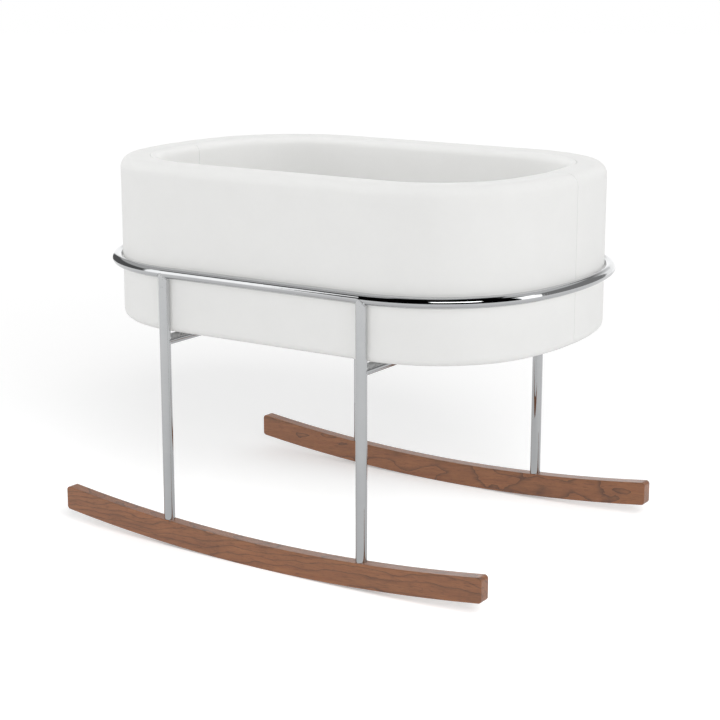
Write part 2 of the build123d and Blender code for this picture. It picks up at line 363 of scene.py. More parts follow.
class Effects:
    """The effects that more than one finish uses, each built once as a node group."""

    def __init__(self) -> None:
        """Builds every effect."""
        self.mottle = self.build_mottle()
        self.weave = self.build_weave()
        self.grain = self.build_grain()
        self.hairlines = self.build_hairlines()
        self.puckers = self.build_puckers()

    @staticmethod
    def build_mottle() -> bpy.types.NodeTree:
        """Soft cloudiness at two sizes, for uneven colour and gloss.

        Returns:
            The group.
        """
        s, given, out = new_group("mottle", {"Vector": VECTOR, "Size": FLOAT}, {"Tone": FLOAT})
        scale = s.math("DIVIDE", 1.0, given.outputs["Size"])
        broad = s.noise(given.outputs["Vector"], scale, 2.0)
        fine = s.noise(given.outputs["Vector"], s.math("MULTIPLY", scale, 6.0), 3.0, 0.6)
        both = s.math("ADD", s.math("MULTIPLY", broad, 0.65), s.math("MULTIPLY", fine, 0.35))
        s.feed(out.inputs["Tone"], s.span(both, 0.3, 0.7, 0.0, 1.0))
        return s.tree

    @staticmethod
    def build_weave() -> bpy.types.NodeTree:
        """Plain weave: threads that pass over and under each other, with uneven yarn.

        Returns:
            The group.
        """
        s, given, out = new_group(
            "weave", {"Vector": VECTOR, "Pitch": FLOAT}, {"Height": FLOAT, "Tone": FLOAT}
        )
        vector = given.outputs["Vector"]
        slub = s.noise(s.mapped(vector, (90, 90, 90)), 1.0, 2.0)
        parts = s.node("ShaderNodeSeparateXYZ", {0: vector})
        turns = s.math("DIVIDE", math.pi, given.outputs["Pitch"])
        waves = []
        for axis in (0, 1):
            phase = s.math("MULTIPLY", parts.outputs[axis], turns)
            waves.append(s.math("ADD", phase, s.math("MULTIPLY", slub, 1.2)))
        over = s.math("MULTIPLY", s.math("SINE", waves[0]), s.math("SINE", waves[1]))
        warp = s.math("ABSOLUTE", s.math("SINE", waves[0]))
        weft = s.math("ABSOLUTE", s.math("SINE", waves[1]))
        which = s.span(over, -0.25, 0.25, 0.0, 1.0)
        first = s.math("MULTIPLY", warp, which)
        second = s.math("MULTIPLY", weft, s.math("SUBTRACT", 1.0, which))
        s.feed(out.inputs["Height"], s.math("ADD", first, second))
        s.feed(out.inputs["Tone"], slub)
        return s.tree

    @staticmethod
    def build_grain() -> bpy.types.NodeTree:
        """Growth rings cut along a tilted log, with pores drawn out along the grain.

        Returns:
            The group.
        """
        s, given, out = new_group(
            "grain",
            {"Vector": VECTOR, "Ring Spacing": FLOAT},
            {"Rings": FLOAT, "Pores": FLOAT, "Streaks": FLOAT},
        )
        vector = given.outputs["Vector"]
        wander = s.node(
            "ShaderNodeTexNoise",
            {"Vector": s.mapped(vector, (8, 22, 22)), "Scale": 1.0, "Detail": 2.0},
        )
        shift = s.node(
            "ShaderNodeVectorMath",
            {0: wander.outputs["Color"], 1: (0.0, 0.045, 0.045)},
            operation="MULTIPLY",
        )
        bent = s.node("ShaderNodeVectorMath", {0: vector, 1: shift.outputs[0]}, operation="ADD")
        wave = s.node(
            "ShaderNodeTexWave",
            {
                "Vector": bent.outputs[0],
                "Scale": s.math("DIVIDE", RING_PITCH_AT_SCALE_1, given.outputs["Ring Spacing"]),
                "Distortion": 0.6,
                "Detail": 2.0,
                "Detail Scale": 3.0,
            },
            wave_type="RINGS",
            rings_direction="X",
            wave_profile="SAW",
        )
        pores = s.noise(s.mapped(vector, (70, 1500, 1500)), 1.0, 2.0, 0.6)
        streaks = s.noise(s.mapped(vector, (9, 210, 210)), 1.0, 4.0, 0.65)
        s.feed(out.inputs["Rings"], wave.outputs["Fac"])
        s.feed(out.inputs["Pores"], s.span(pores, 0.56, 0.66, 0.0, 1.0))
        s.feed(out.inputs["Streaks"], streaks)
        return s.tree

    @staticmethod
    def build_hairlines() -> bpy.types.NodeTree:
        """Fine random scratches from handling and wiping.

        Returns:
            The group.
        """
        s, given, out = new_group("hairlines", {"Vector": VECTOR}, {"Mask": FLOAT})
        found = None
        for turn, seed in ((18, 3.0), (-34, 9.0)):
            lines = s.mapped(given.outputs["Vector"], (60, 2600, 400), (0, turn, turn), (seed,) * 3)
            mask = s.span(s.noise(lines, 1.0, 1.0), 0.66, 0.74, 0.0, 1.0)
            found = mask if found is None else s.math("MAXIMUM", found, mask)
        s.feed(out.inputs["Mask"], found)
        return s.tree

    @staticmethod
    def build_puckers() -> bpy.types.NodeTree:
        """Small gathers that run away from a seam and die out.

        Returns:
            The group.
        """
        s, given, out = new_group(
            "puckers", {"Vector": VECTOR, "Distance": FLOAT, "Reach": FLOAT}, {"Height": FLOAT}
        )
        ripple = s.noise(s.mapped(given.outputs["Vector"], (60, 260, 60)), 1.0, 2.0, 0.4)
        near = s.math("DIVIDE", given.outputs["Distance"], given.outputs["Reach"])
        fade = s.math("SUBTRACT", 1.0, near, clamp=True)
        s.feed(out.inputs["Height"], s.math("MULTIPLY", ripple, s.math("MULTIPLY", fade, fade)))
        return s.tree


# ------------------------------------------------------------------ finishes
class Finish:
    """A material for one kind of surface."""

    name = "finish"

    def make(self, effects: Effects) -> bpy.types.Material:
        """Builds the material.

        Args:
            effects: The shared node groups.

        Returns:
            The material.
        """
        material = bpy.data.materials.new(self.name)
        material.use_nodes = True
        material.node_tree.nodes.clear()
        shader = Shader(material.node_tree)
        surface = shader.node("ShaderNodeBsdfPrincipled")
        self.fill(shader, surface, effects)
        shader.node("ShaderNodeOutputMaterial", {0: surface.outputs[0]})
        return material

    def fill(self, s: Shader, surface: bpy.types.Node, effects: Effects) -> None:
        """Sets the surface's inputs. Each finish has its own.

        Args:
            s: The shader builder.
            surface: The material's Principled node.
            effects: The shared node groups.
        """
        raise NotImplementedError


@dataclass(frozen=True)
class Chrome(Finish):
    """Polished chrome plate, with faint polishing marks and wipe haze."""

    name = "polished_chrome"
    colour: Colour = (0.565, 0.572, 0.578)
    haze: Colour = (0.53, 0.54, 0.55)
    gloss: float = 0.018

    def fill(self, s: Shader, surface: bpy.types.Node, effects: Effects) -> None:
        """Metal whose roughness and tone vary a little from place to place, painted white for
        bounced light so that it lifts the shade the tubes cast on the cloth.

        Args:
            s: The shader builder.
            surface: The material's Principled node.
            effects: The shared node groups.
        """
        place = s.object_vector()
        tone = s.group(effects.mottle, Vector=place, Size=0.045).outputs["Tone"]
        marks = s.group(effects.hairlines, Vector=place).outputs["Mask"]
        soft = s.node("ShaderNodeLightPath").outputs["Is Diffuse Ray"]
        plate = s.mix(tone, self.colour, self.haze)
        # Painted light: for bounced light the plate is white, so the tubes give back the light they
        # block and the cloth beside them keeps little contact shade.
        s.feed(surface.inputs["Base Color"], s.mix(soft, plate, WHITE))
        rough = s.span(tone, 0.0, 1.0, self.gloss, self.gloss * 2.2)
        rough = s.math("ADD", rough, s.math("MULTIPLY", marks, 0.05))
        s.feed(surface.inputs["Roughness"], rough)
        surface.inputs["Metallic"].default_value = 1.0
        wave = s.noise(place, 160.0, 2.0)
        normal = s.bump(wave, 0.00002, 0.5)
        s.feed(surface.inputs["Normal"], s.bump(marks, 0.000012, 0.5, normal))


@dataclass(frozen=True)
class Walnut(Finish):
    """Oiled walnut with cathedral figure on its faces."""

    name = "oiled_walnut"
    early: Colour = (0.290, 0.098, 0.030)
    late: Colour = (0.050, 0.018, 0.007)
    sap: Colour = (0.420, 0.165, 0.054)
    pore: Colour = (0.045, 0.018, 0.010)
    ring_spacing: float = 0.0105
    tilt: float = 5.0

    def fill(self, s: Shader, surface: bpy.types.Node, effects: Effects) -> None:
        """Rings, streaks and pores, with darker clouds at random.

        Args:
            s: The shader builder.
            surface: The material's Principled node.
            effects: The shared node groups.
        """
        place = s.object_vector()
        log_way = s.mapped(place, turn=(0, self.tilt, 1.2), move=(0.0, 0.262, -0.02))
        figure = s.group(effects.grain, Vector=log_way, Ring_Spacing=self.ring_spacing)
        rings, pores = figure.outputs["Rings"], figure.outputs["Pores"]
        cloud = s.group(effects.mottle, Vector=s.mapped(place, (0.25, 1, 1)), Size=0.03)
        late = s.math("POWER", rings, 9.0)
        streaks = s.span(figure.outputs["Streaks"], 0.35, 0.68, 0.0, 1.0)
        base = s.mix(s.math("MULTIPLY", streaks, 0.62), self.early, self.sap)
        base = s.mix(s.math("MULTIPLY", late, 0.78), base, self.late)
        shade = s.math("MULTIPLY", cloud.outputs["Tone"], 0.4)
        base = s.mix(shade, base, self.late)
        base = s.mix(s.math("MULTIPLY", pores, 0.5), base, self.pore)
        s.feed(surface.inputs["Base Color"], base)
        rough = s.span(cloud.outputs["Tone"], 0.0, 1.0, 0.36, 0.5)
        s.feed(surface.inputs["Roughness"], s.math("ADD", rough, s.math("MULTIPLY", pores, 0.2)))
        surface.inputs["Coat Weight"].default_value = 0.9
        surface.inputs["Coat Roughness"].default_value = 0.27
        height = s.math("SUBTRACT", s.math("MULTIPLY", late, 0.3), pores)
        s.feed(surface.inputs["Normal"], s.bump(height, 0.00012, 0.6))


@dataclass(frozen=True)
class Cloth(Finish):
    """Woven cloth on its own UV map, gathered a little beside its seams."""

    name: str = "cover_cloth_white"
    colour: Colour = (0.80, 0.80, 0.79)
    # deep: the colour of the painted shade in the weave's low parts, and of its random darker tone.
    deep: Colour = (0.745, 0.745, 0.735)
    pitch: float = 0.0011
    thread: float = 0.00012
    pucker: float = 0.0007
    rough: float = 0.9
    sheen: float = 0.15

    def fill(self, s: Shader, surface: bpy.types.Node, effects: Effects) -> None:
        """Weave with painted shade in its low parts, seam gathers and a soft sheen.

        Args:
            s: The shader builder.
            surface: The material's Principled node.
            effects: The shared node groups.
        """
        cloth = s.uv_vector()
        weave = s.group(effects.weave, Vector=cloth, Pitch=self.pitch)
        seam = s.attribute("seam_distance")
        pucker = s.group(effects.puckers, Vector=cloth, Distance=seam, Reach=0.016)
        tone = s.group(effects.mottle, Vector=cloth, Size=0.05).outputs["Tone"]
        # Painted shade: the weave's low parts are darkened towards deep, mixed with random darker
        # tone.
        low = s.math("SUBTRACT", 1.0, weave.outputs["Height"], clamp=True)
        shade = s.math("ADD", s.math("MULTIPLY", low, 0.35), s.math("MULTIPLY", tone, 0.3))
        s.feed(surface.inputs["Base Color"], s.mix(shade, self.colour, self.deep))
        rough = s.span(tone, 0.0, 1.0, self.rough - 0.05, min(self.rough + 0.05, 1.0))
        s.feed(surface.inputs["Roughness"], rough)
        surface.inputs["Sheen Weight"].default_value = self.sheen
        surface.inputs["Sheen Roughness"].default_value = 0.5
        surface.inputs["Specular IOR Level"].default_value = 0.25
        normal = s.bump(weave.outputs["Height"], self.thread, 0.5)
        normal = s.bump(pucker.outputs["Height"], self.pucker, 0.8, normal)
        s.feed(surface.inputs["Normal"], normal)


@dataclass(frozen=True)
class Foam(Finish):
    """Open-cell polyurethane foam."""

    name = "open_cell_foam"
    colour: Colour = (0.78, 0.72, 0.52)
    # deep: the colour of the painted shade in the cell pits, and of their random darker tone.
    deep: Colour = (0.50, 0.43, 0.26)

    def fill(self, s: Shader, surface: bpy.types.Node, effects: Effects) -> None:
        """Cells, with painted shade in their pits.

        Args:
            s: The shader builder.
            surface: The material's Principled node.
            effects: The shared node groups.
        """
        place = s.object_vector()
        cells = s.node("ShaderNodeTexVoronoi", {"Vector": place, "Scale": 900.0})
        tone = s.group(effects.mottle, Vector=place, Size=0.03).outputs["Tone"]
        # Painted shade: the cells' pits are darkened towards deep, mixed with random darker tone.
        pit = s.span(cells.outputs["Distance"], 0.15, 0.6, 1.0, 0.0)
        shade = s.math("ADD", s.math("MULTIPLY", pit, 0.6), s.math("MULTIPLY", tone, 0.25))
        s.feed(surface.inputs["Base Color"], s.mix(shade, self.colour, self.deep))
        s.feed(surface.inputs["Roughness"], s.span(tone, 0.0, 1.0, 0.9, 1.0))
        s.feed(surface.inputs["Normal"], s.bump(cells.outputs["Distance"], 0.0004, 0.8))


@dataclass(frozen=True)
class Plywood(Finish):
    """Birch plywood: pale veneer with fine grain."""

    name = "birch_plywood"
    colour: Colour = (0.66, 0.47, 0.27)
    late: Colour = (0.47, 0.29, 0.14)

    def fill(self, s: Shader, surface: bpy.types.Node, effects: Effects) -> None:
        """Wide, faint figure and veneer lines on the edges.

        Args:
            s: The shader builder.
            surface: The material's Principled node.
            effects: The shared node groups.
        """
        place = s.object_vector()
        log_way = s.mapped(place, turn=(0, 2.0, 3.0))
        figure = s.group(effects.grain, Vector=log_way, Ring_Spacing=0.016)
        layers = s.node(
            "ShaderNodeTexWave",
            {"Vector": place, "Scale": 110.0, "Distortion": 0.4},
            bands_direction="Z",
        )
        late = s.math("POWER", figure.outputs["Rings"], 2.0)
        base = s.mix(s.math("MULTIPLY", late, 0.6), self.colour, self.late)
        edge = s.math("MULTIPLY", s.math("POWER", layers.outputs["Fac"], 6.0), 0.3)
        s.feed(surface.inputs["Base Color"], s.mix(edge, base, self.late))
        s.feed(surface.inputs["Roughness"], s.span(figure.outputs["Streaks"], 0.3, 0.7, 0.5, 0.68))
        s.feed(surface.inputs["Normal"], s.bump(figure.outputs["Pores"], 0.0001, 0.4))


@dataclass(frozen=True)
class Zinc(Finish):
    """Zinc-plated steel of bolts, screws and staples."""

    name = "zinc_plate"
    colour: Colour = (0.62, 0.64, 0.66)
    dull: Colour = (0.44, 0.46, 0.49)

    def fill(self, s: Shader, surface: bpy.types.Node, effects: Effects) -> None:
        """Spangled, half-dull metal.

        Args:
            s: The shader builder.
            surface: The material's Principled node.
            effects: The shared node groups.
        """
        place = s.object_vector()
        tone = s.group(effects.mottle, Vector=place, Size=0.004).outputs["Tone"]
        marks = s.group(effects.hairlines, Vector=place).outputs["Mask"]
        s.feed(surface.inputs["Base Color"], s.mix(tone, self.colour, self.dull))
        rough = s.span(tone, 0.0, 1.0, 0.26, 0.42)
        s.feed(surface.inputs["Roughness"], s.math("ADD", rough, s.math("MULTIPLY", marks, 0.1)))
        surface.inputs["Metallic"].default_value = 1.0
        s.feed(surface.inputs["Normal"], s.bump(tone, 0.00003, 0.6))


@dataclass(frozen=True)
class Rubber(Finish):
    """Dark moulded rubber with a fine matt grain."""

    name = "black_rubber"
    colour: Colour = (0.028, 0.028, 0.030)
    dusty: Colour = (0.075, 0.074, 0.072)

    def fill(self, s: Shader, surface: bpy.types.Node, effects: Effects) -> None:
        """Moulded grain with a little dust in it.

        Args:
            s: The shader builder.
            surface: The material's Principled node.
            effects: The shared node groups.
        """
        place = s.object_vector()
        tone = s.group(effects.mottle, Vector=place, Size=0.006).outputs["Tone"]
        s.feed(surface.inputs["Base Color"], s.mix(tone, self.colour, self.dusty))
        s.feed(surface.inputs["Roughness"], s.span(tone, 0.0, 1.0, 0.6, 0.8))
        grain = s.noise(place, 1800.0, 2.0)
        s.feed(surface.inputs["Normal"], s.bump(grain, 0.00015, 0.5))


@dataclass(frozen=True)
class DustCloth(Finish):
    """Spun-bonded cloth with its pattern of pressed dots."""

    name = "spun_bonded_cloth"
    colour: Colour = (0.70, 0.70, 0.69)
    deep: Colour = (0.55, 0.55, 0.54)

    def fill(self, s: Shader, surface: bpy.types.Node, effects: Effects) -> None:
        """Random fibres and pressed dots.

        Args:
            s: The shader builder.
            surface: The material's Principled node.
            effects: The shared node groups.
        """
        place = s.object_vector()
        fibres = s.noise(s.mapped(place, (700, 260, 260), (0, 0, 35)), 1.0, 3.0, 0.7)
        dots = s.node(
            "ShaderNodeTexVoronoi", {"Vector": place, "Scale": 520.0, "Randomness": 0.15}
        )
        pressed = s.span(dots.outputs["Distance"], 0.12, 0.24, 1.0, 0.0)
        tone = s.group(effects.mottle, Vector=place, Size=0.02).outputs["Tone"]
        shade = s.math("ADD", s.math("MULTIPLY", pressed, 0.5), s.math("MULTIPLY", tone, 0.3))
        s.feed(surface.inputs["Base Color"], s.mix(shade, self.colour, self.deep))
        s.feed(surface.inputs["Roughness"], s.span(tone, 0.0, 1.0, 0.75, 0.9))
        height = s.math("SUBTRACT", fibres, s.math("MULTIPLY", pressed, 0.6))
        s.feed(surface.inputs["Normal"], s.bump(height, 0.0002, 0.7))


class Finishes:
    """Every finish, made once, by material slot."""

    def __init__(self) -> None:
        """Builds the shared effects and all materials."""
        effects = Effects()
        recipes = {
            Slot.CHROME: Chrome(),
            Slot.WALNUT: Walnut(),
            Slot.ZINC: Zinc(),
            Slot.RUBBER: Rubber(),
            Slot.PLYWOOD: Plywood(),
            Slot.FOAM: Foam(),
            Slot.COVER: Cloth(),
            Slot.LINER: Cloth(
                name="liner_cloth_white", colour=(0.83, 0.83, 0.82), deep=(0.78, 0.78, 0.77),
                pitch=0.0009, thread=0.0001,
            ),
            Slot.DUST: DustCloth(),
            Slot.COTTON: Cloth(
                name="cotton_sheet_white", colour=(0.83, 0.83, 0.82), deep=(0.77, 0.77, 0.76),
                pitch=0.0007, thread=0.0001, pucker=0.0012,
            ),
        }
        self.made = {slot: finish.make(effects) for slot, finish in recipes.items()}

    def dress(self, piece: bpy.types.Object, slot: Slot) -> None:
        """Gives a piece a finish in a single material slot.

        Args:
            piece: The piece.
            slot: Which finish.
        """
        piece.data.materials.clear()
        piece.data.materials.append(self.made[slot])

    def settle(self, piece: bpy.types.Object, body: Body, node: str, slot: Slot) -> None:
        """Puts a piece on its body, in a CAD node's stead, with its finish.

        Args:
            piece: The piece.
            body: The body it rides on.
            node: The CAD node.
            slot: Which finish.
        """
        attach(piece, body.value)
        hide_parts(node)
        self.dress(piece, slot)

    def dress_node(self, name: str, slot: Slot) -> None:
        """Gives a CAD node its finish.

        Args:
            name: The node.
            slot: Which finish.
        """
        for place in frame["nodes"][name].material_slots:
            place.material = self.made[slot]


# ------------------------------------------------------------------ mesh helpers
def finished_piece(bm: bmesh.types.BMesh, name: str, smooth: bool = True) -> bpy.types.Object:
    """Turns a bmesh into a piece at the origin.

    Args:
        bm: The shape, which is freed.
        name: The piece's name.
        smooth: Shades it smooth.

    Returns:
        The new object.
    """
    mesh = bpy.data.meshes.new(name)
    bm.to_mesh(mesh)
    bm.free()
    for face in mesh.polygons:
        face.use_smooth = smooth
    piece = bpy.data.objects.new(name, mesh)
    bpy.context.scene.collection.objects.link(piece)
    return piece


def thicken(piece: bpy.types.Object, thickness: float) -> None:
    """Gives a sheet its thickness, on its inner side.

    Args:
        piece: The sheet.
        thickness: In metres.
    """
    wall = piece.modifiers.new("thickness", "SOLIDIFY")
    wall.thickness = thickness
    wall.offset = -1.0
    wall.use_even_offset = True


def line(a: Point2, b: Point2, step: float) -> list[Point2]:
    """Points along a straight run, without its first one.

    Args:
        a: Start.
        b: End.
        step: Largest distance between points.

    Returns:
        The points.
    """
    count = max(1, math.ceil(math.dist(a, b) / step))
    return [
        (a[0] + (b[0] - a[0]) * i / count, a[1] + (b[1] - a[1]) * i / count)
        for i in range(1, count + 1)
    ]


def arc(centre: Point2, radius: float, start: float, end: float, steps: int) -> list[Point2]:
    """Points along an arc, without its first one.

    Args:
        centre: Its centre.
        radius: Its radius.
        start: Angle at its start, in degrees.
        end: Angle at its end, in degrees.
        steps: How many points.

    Returns:
        The points.
    """
    found = []
    for i in range(1, steps + 1):
        angle = math.radians(start + (end - start) * i / steps)
        found.append((centre[0] + radius * math.cos(angle), centre[1] + radius * math.sin(angle)))
    return found


def seam_dip(distance: float, roll: float, pull: float, reach: float) -> float:
    """How far cloth dips beside a seam: its edge rolls in, and the padding is drawn down.

    Args:
        distance: Distance from the seam.
        roll: Radius that the edge rolls in with.
        pull: How far the padding is drawn down at the seam.
        reach: How far that spreads.

    Returns:
        The dip, in metres.
    """
    dip = pull * math.exp(-distance / reach)
    if distance < roll:
        dip += roll - math.sqrt(max(roll**2 - (roll - distance) ** 2, 0.0))
    return dip


@dataclass
class OvalPlan:
    """The basket's outline seen from above: two straight sides, four corner arcs and two
    shallow end arcs. Depths are measured inwards from its outer face."""

    half_length: float
    half_width: float
    corner_radius: float = 203.5 * MM
    end_radius: float = 500.5 * MM
    end_centre: float = field(init=False)
    corner_x: float = field(init=False)
    corner_y: float = field(init=False)
    corner_start: float = field(init=False)

    def __post_init__(self) -> None:
        """Works out the arcs' centres from the tangency of the outline."""
        self.end_centre = self.half_length - self.end_radius
        self.corner_y = self.half_width - self.corner_radius
        between = self.end_radius - self.corner_radius
        self.corner_x = self.end_centre + math.sqrt(between**2 - self.corner_y**2)
        self.corner_start = math.atan2(self.corner_y, self.corner_x - self.end_centre)

    @property
    def quarter_run(self) -> float:
        """Length of a quarter of the outer face, from the middle of a side to an end."""
        corner = self.corner_radius * (math.pi / 2 - self.corner_start)
        return self.corner_x + corner + self.end_radius * self.corner_start

    def outward(self, x: float, y: float) -> Vector:
        """Direction out of the oval, in plan, at a point.

        Args:
            x: The point's x.
            y: The point's y.

        Returns:
            A unit vector.
        """
        ax, ay = abs(x), abs(y)
        if ax <= self.corner_x:
            found = Vector((0.0, 1.0, 0.0))
        elif math.atan2(ay, ax - self.end_centre) < self.corner_start:
            found = Vector((ax - self.end_centre, ay, 0.0)).normalized()
        else:
            found = Vector((ax - self.corner_x, ay - self.corner_y, 0.0)).normalized()
        return Vector((math.copysign(found.x, x), math.copysign(found.y, y), 0.0))

    def depth(self, x: float, y: float) -> float:
        """How far a point lies inside the outer face.

        Args:
            x: The point's x.
            y: The point's y.

        Returns:
            The depth, in metres.
        """
        ax, ay = abs(x), abs(y)
        if ax <= self.corner_x:
            return self.half_width - ay
        if math.atan2(ay, ax - self.end_centre) < self.corner_start:
            return self.end_radius - math.hypot(ax - self.end_centre, ay)
        return self.corner_radius - math.hypot(ax - self.corner_x, ay - self.corner_y)

    def run(self, x: float, y: float) -> float:
        """Signed distance along the outer face from the middle of the nearer side.

        Args:
            x: The point's x.
            y: The point's y.

        Returns:
            The distance, negative to the left.
        """
        ax, ay = abs(x), abs(y)
        full_corner = math.pi / 2 - self.corner_start
        at_end = math.atan2(ay, ax - self.end_centre)
        if ax <= self.corner_x:
            found = ax
        elif at_end < self.corner_start:
            found = self.quarter_run - self.end_radius * at_end
        else:
            turned = math.atan2(ax - self.corner_x, ay - self.corner_y)
            found = self.corner_x + self.corner_radius * min(turned, full_corner)
        return math.copysign(found, x)


@dataclass
class Sweep:
    """A profile carried round half of the oval."""

    plan: OvalPlan
    step: float = 9 * MM
    seam_band: float = 14 * MM
    seam_steps: int = 8
    lip_steps: int = 5
    lip: float = 2.2 * MM

    def spin_steps(self, radius: float, angle: float, step: float) -> int:
        """How many steps a spin takes to keep to a step length."""
        return max(2, math.ceil(radius * angle / step))

    def half(self, profile: list[Point2], closed: bool = False) -> bmesh.types.BMesh:
        """Sweeps a profile round the front half of the oval.

        Each point keeps how far along the profile it lies, as rise, and the profile's
        outward direction there, as out_depth and out_z.

        Args:
            profile: (depth, z) points. Walked along, their outer side is on the left.
            closed: Joins the last point to the first and caps both ends.

        Returns:
            The swept shape.
        """
        plan = self.plan
        bm = bmesh.new()
        layers = [bm.verts.layers.float.new(n) for n in ("rise", "out_depth", "out_z")]
        edges = self.lay_profile(bm, layers, profile, closed)
        straight = max(2, math.ceil(plan.corner_x / self.step))
        geometry = self.carry(
            bm, edges, (0, 0, 0), 0.0, straight, (plan.corner_x / straight, 0, 0)
        )
        corner = math.pi / 2 - plan.corner_start
        steps = self.spin_steps(plan.corner_radius, corner, self.step)
        centre = (plan.corner_x, -plan.corner_y, 0)
        geometry = self.carry(bm, geometry, centre, corner, steps)
        band, lip = self.seam_band / plan.end_radius, self.lip / plan.end_radius
        end_steps = self.spin_steps(plan.end_radius, plan.corner_start, self.step)
        parts = (
            (plan.corner_start - band, end_steps),
            (band - lip, self.seam_steps),
            (lip, self.lip_steps),
        )
        for angle, count in parts:
            geometry = self.carry(bm, geometry, (plan.end_centre, 0, 0), angle, count)
        if closed:
            self.cap(bm, lambda v: abs(v.co.y) < 1e-6)
        bmesh.ops.mirror(
            bm, geom=bm.verts[:] + bm.edges[:] + bm.faces[:], axis="X", merge_dist=MERGE_DIST
        )
        bmesh.ops.remove_doubles(bm, verts=bm.verts[:], dist=MERGE_DIST)
        bmesh.ops.recalc_face_normals(bm, faces=bm.faces[:])
        if not closed:
            self.face_outwards(bm, layers)
        return bm

    def lay_profile(
        self, bm: bmesh.types.BMesh, layers: Layers, profile: list[Point2], closed: bool
    ) -> Elements:
        """Adds the profile's points and edges at the middle of the front side.

        Args:
            bm: The shape.
            layers: The rise, out_depth and out_z layers.
            profile: (depth, z) points.
            closed: Joins the last point to the first.

        Returns:
            The new points and edges.
        """
        verts, rise = [], 0.0
        last = len(profile) - 1
        for i, (depth, z) in enumerate(profile):
            vert = bm.verts.new((0.0, -(self.plan.half_width - depth), z))
            before, after = profile[max(i - 1, 0)], profile[min(i + 1, last)]
            way = Vector((after[0] - before[0], after[1] - before[1])).normalized()
            rise += math.dist(profile[i - 1], profile[i]) if i else 0.0
            for layer, value in zip(layers, (rise, -way.y, way.x)):
                vert[layer] = value
            verts.append(vert)
        edges = [bm.edges.new((a, b)) for a, b in zip(verts, verts[1:])]
        if closed:
            edges.append(bm.edges.new((verts[-1], verts[0])))
        return verts + edges

    @staticmethod
    def carry(
        bm: bmesh.types.BMesh,
        geometry: Elements,
        centre: Triple,
        angle: float,
        steps: int,
        move: Triple = (0, 0, 0),
    ) -> Elements:
        """Extrudes geometry round a vertical axis, or straight along.

        Args:
            bm: The shape.
            geometry: The points and edges to extrude.
            centre: A point on the axis.
            angle: The whole turn, in radians.
            steps: How many steps.
            move: Extra move at each step.

        Returns:
            The points and edges at the far end.
        """
        made = bmesh.ops.spin(
            bm, geom=geometry, cent=centre, axis=(0, 0, 1), dvec=move,
            angle=angle, steps=steps, use_merge=False, use_duplicate=False,
        )
        return [g for g in made["geom_last"] if not isinstance(g, bmesh.types.BMFace)]

    @staticmethod
    def cap(bm: bmesh.types.BMesh, at_end: Callable[[bmesh.types.BMVert], bool]) -> None:
        """Closes the open end whose points pass a test."""
        rim = [e for e in bm.edges if e.is_boundary and all(at_end(v) for v in e.verts)]
        bmesh.ops.holes_fill(bm, edges=rim, sides=0)

    def face_outwards(self, bm: bmesh.types.BMesh, layers: Layers) -> None:
        """Turns the faces of an open shape to its profile's outer side.

        Args:
            bm: The shape.
            layers: The rise, out_depth and out_z layers.
        """
        bm.faces.ensure_lookup_table()
        face = bm.faces[0]
        vert = face.verts[0]
        way = self.plan.outward(vert.co.x, vert.co.y) * -vert[layers[1]]
        way.z = vert[layers[2]]
        if face.normal.dot(way) < 0:
            bmesh.ops.reverse_faces(bm, faces=bm.faces[:])

    def shape_cloth(
        self, bm: bmesh.types.BMesh, move: Callable[[Vector, float, float], float], half: Half
    ) -> None:
        """Moves every point along the cloth's outward direction and maps the cloth.

        Args:
            bm: The swept shape.
            move: Gives the move outwards from a point's place, rise and seam distance.
            half: Which half it is turned to.
        """
        plan = self.plan
        rise, out_depth, out_z = (bm.verts.layers.float[n] for n in ("rise", "out_depth", "out_z"))
        seam = bm.verts.layers.float.new("seam_distance")
        runs = {}
        for vert in bm.verts:
            x, y, _ = vert.co
            runs[vert] = plan.run(x, y)
            vert[seam] = max(plan.quarter_run - abs(runs[vert]), 0.0)
            way = plan.outward(x, y) * -vert[out_depth]
            way.z = vert[out_z]
            vert.co += way * move(vert.co, vert[rise], vert[seam])
        cloth = bm.loops.layers.uv.new("cloth")
        for face in bm.faces:
            for loop in face.loops:
                loop[cloth].uv = (runs[loop.vert], loop.vert[rise])
        bmesh.ops.rotate(
            bm, verts=bm.verts[:], cent=(0, 0, 0), matrix=Matrix.Rotation(half.turn, 3, "Z")
        )


def oval_sheet(plan: OvalPlan, depth: float, z: float, step: float) -> bmesh.types.BMesh:
    """A level sheet cut to the oval.

    Args:
        plan: The oval.
        depth: How far inside the outer face its edge lies.
        z: Its height.
        step: Size of its squares.

    Returns:
        The sheet, facing up, with its cloth mapped.
    """
    long, wide = plan.half_length - depth, plan.half_width - depth
    bm = bmesh.new()
    bmesh.ops.create_grid(
        bm, x_segments=round(2 * long / step), y_segments=round(2 * wide / step), size=1.0
    )
    bmesh.ops.scale(bm, vec=(long, wide, 1.0), verts=bm.verts[:])
    bmesh.ops.translate(bm, vec=(0, 0, z), verts=bm.verts[:])
    cuts = 28
    for i in range(cuts):
        angle = (i + 0.5) / cuts * math.pi / 2
        if angle < plan.corner_start:
            centre, radius = (plan.end_centre, 0.0), plan.end_radius - depth
        else:
            centre, radius = (plan.corner_x, plan.corner_y), plan.corner_radius - depth
        way = Vector((math.cos(angle), math.sin(angle), 0.0))
        for sx in (-1, 1):
            for sy in (-1, 1):
                normal = Vector((sx * way.x, sy * way.y, 0.0))
                edge = Vector((sx * centre[0], sy * centre[1], z)) + normal * radius
                bmesh.ops.bisect_plane(
                    bm, geom=bm.verts[:] + bm.edges[:] + bm.faces[:],
                    plane_co=edge, plane_no=normal, clear_outer=True,
                )
    cloth = bm.loops.layers.uv.new("cloth")
    seam = bm.verts.layers.float.new("seam_distance")
    for vert in bm.verts:
        vert[seam] = max(plan.depth(vert.co.x, vert.co.y) - depth, 0.0)
    for face in bm.faces:
        if face.normal.z < 0:
            face.normal_flip()
        for loop in face.loops:
            loop[cloth].uv = loop.vert.co.xy
    return bm


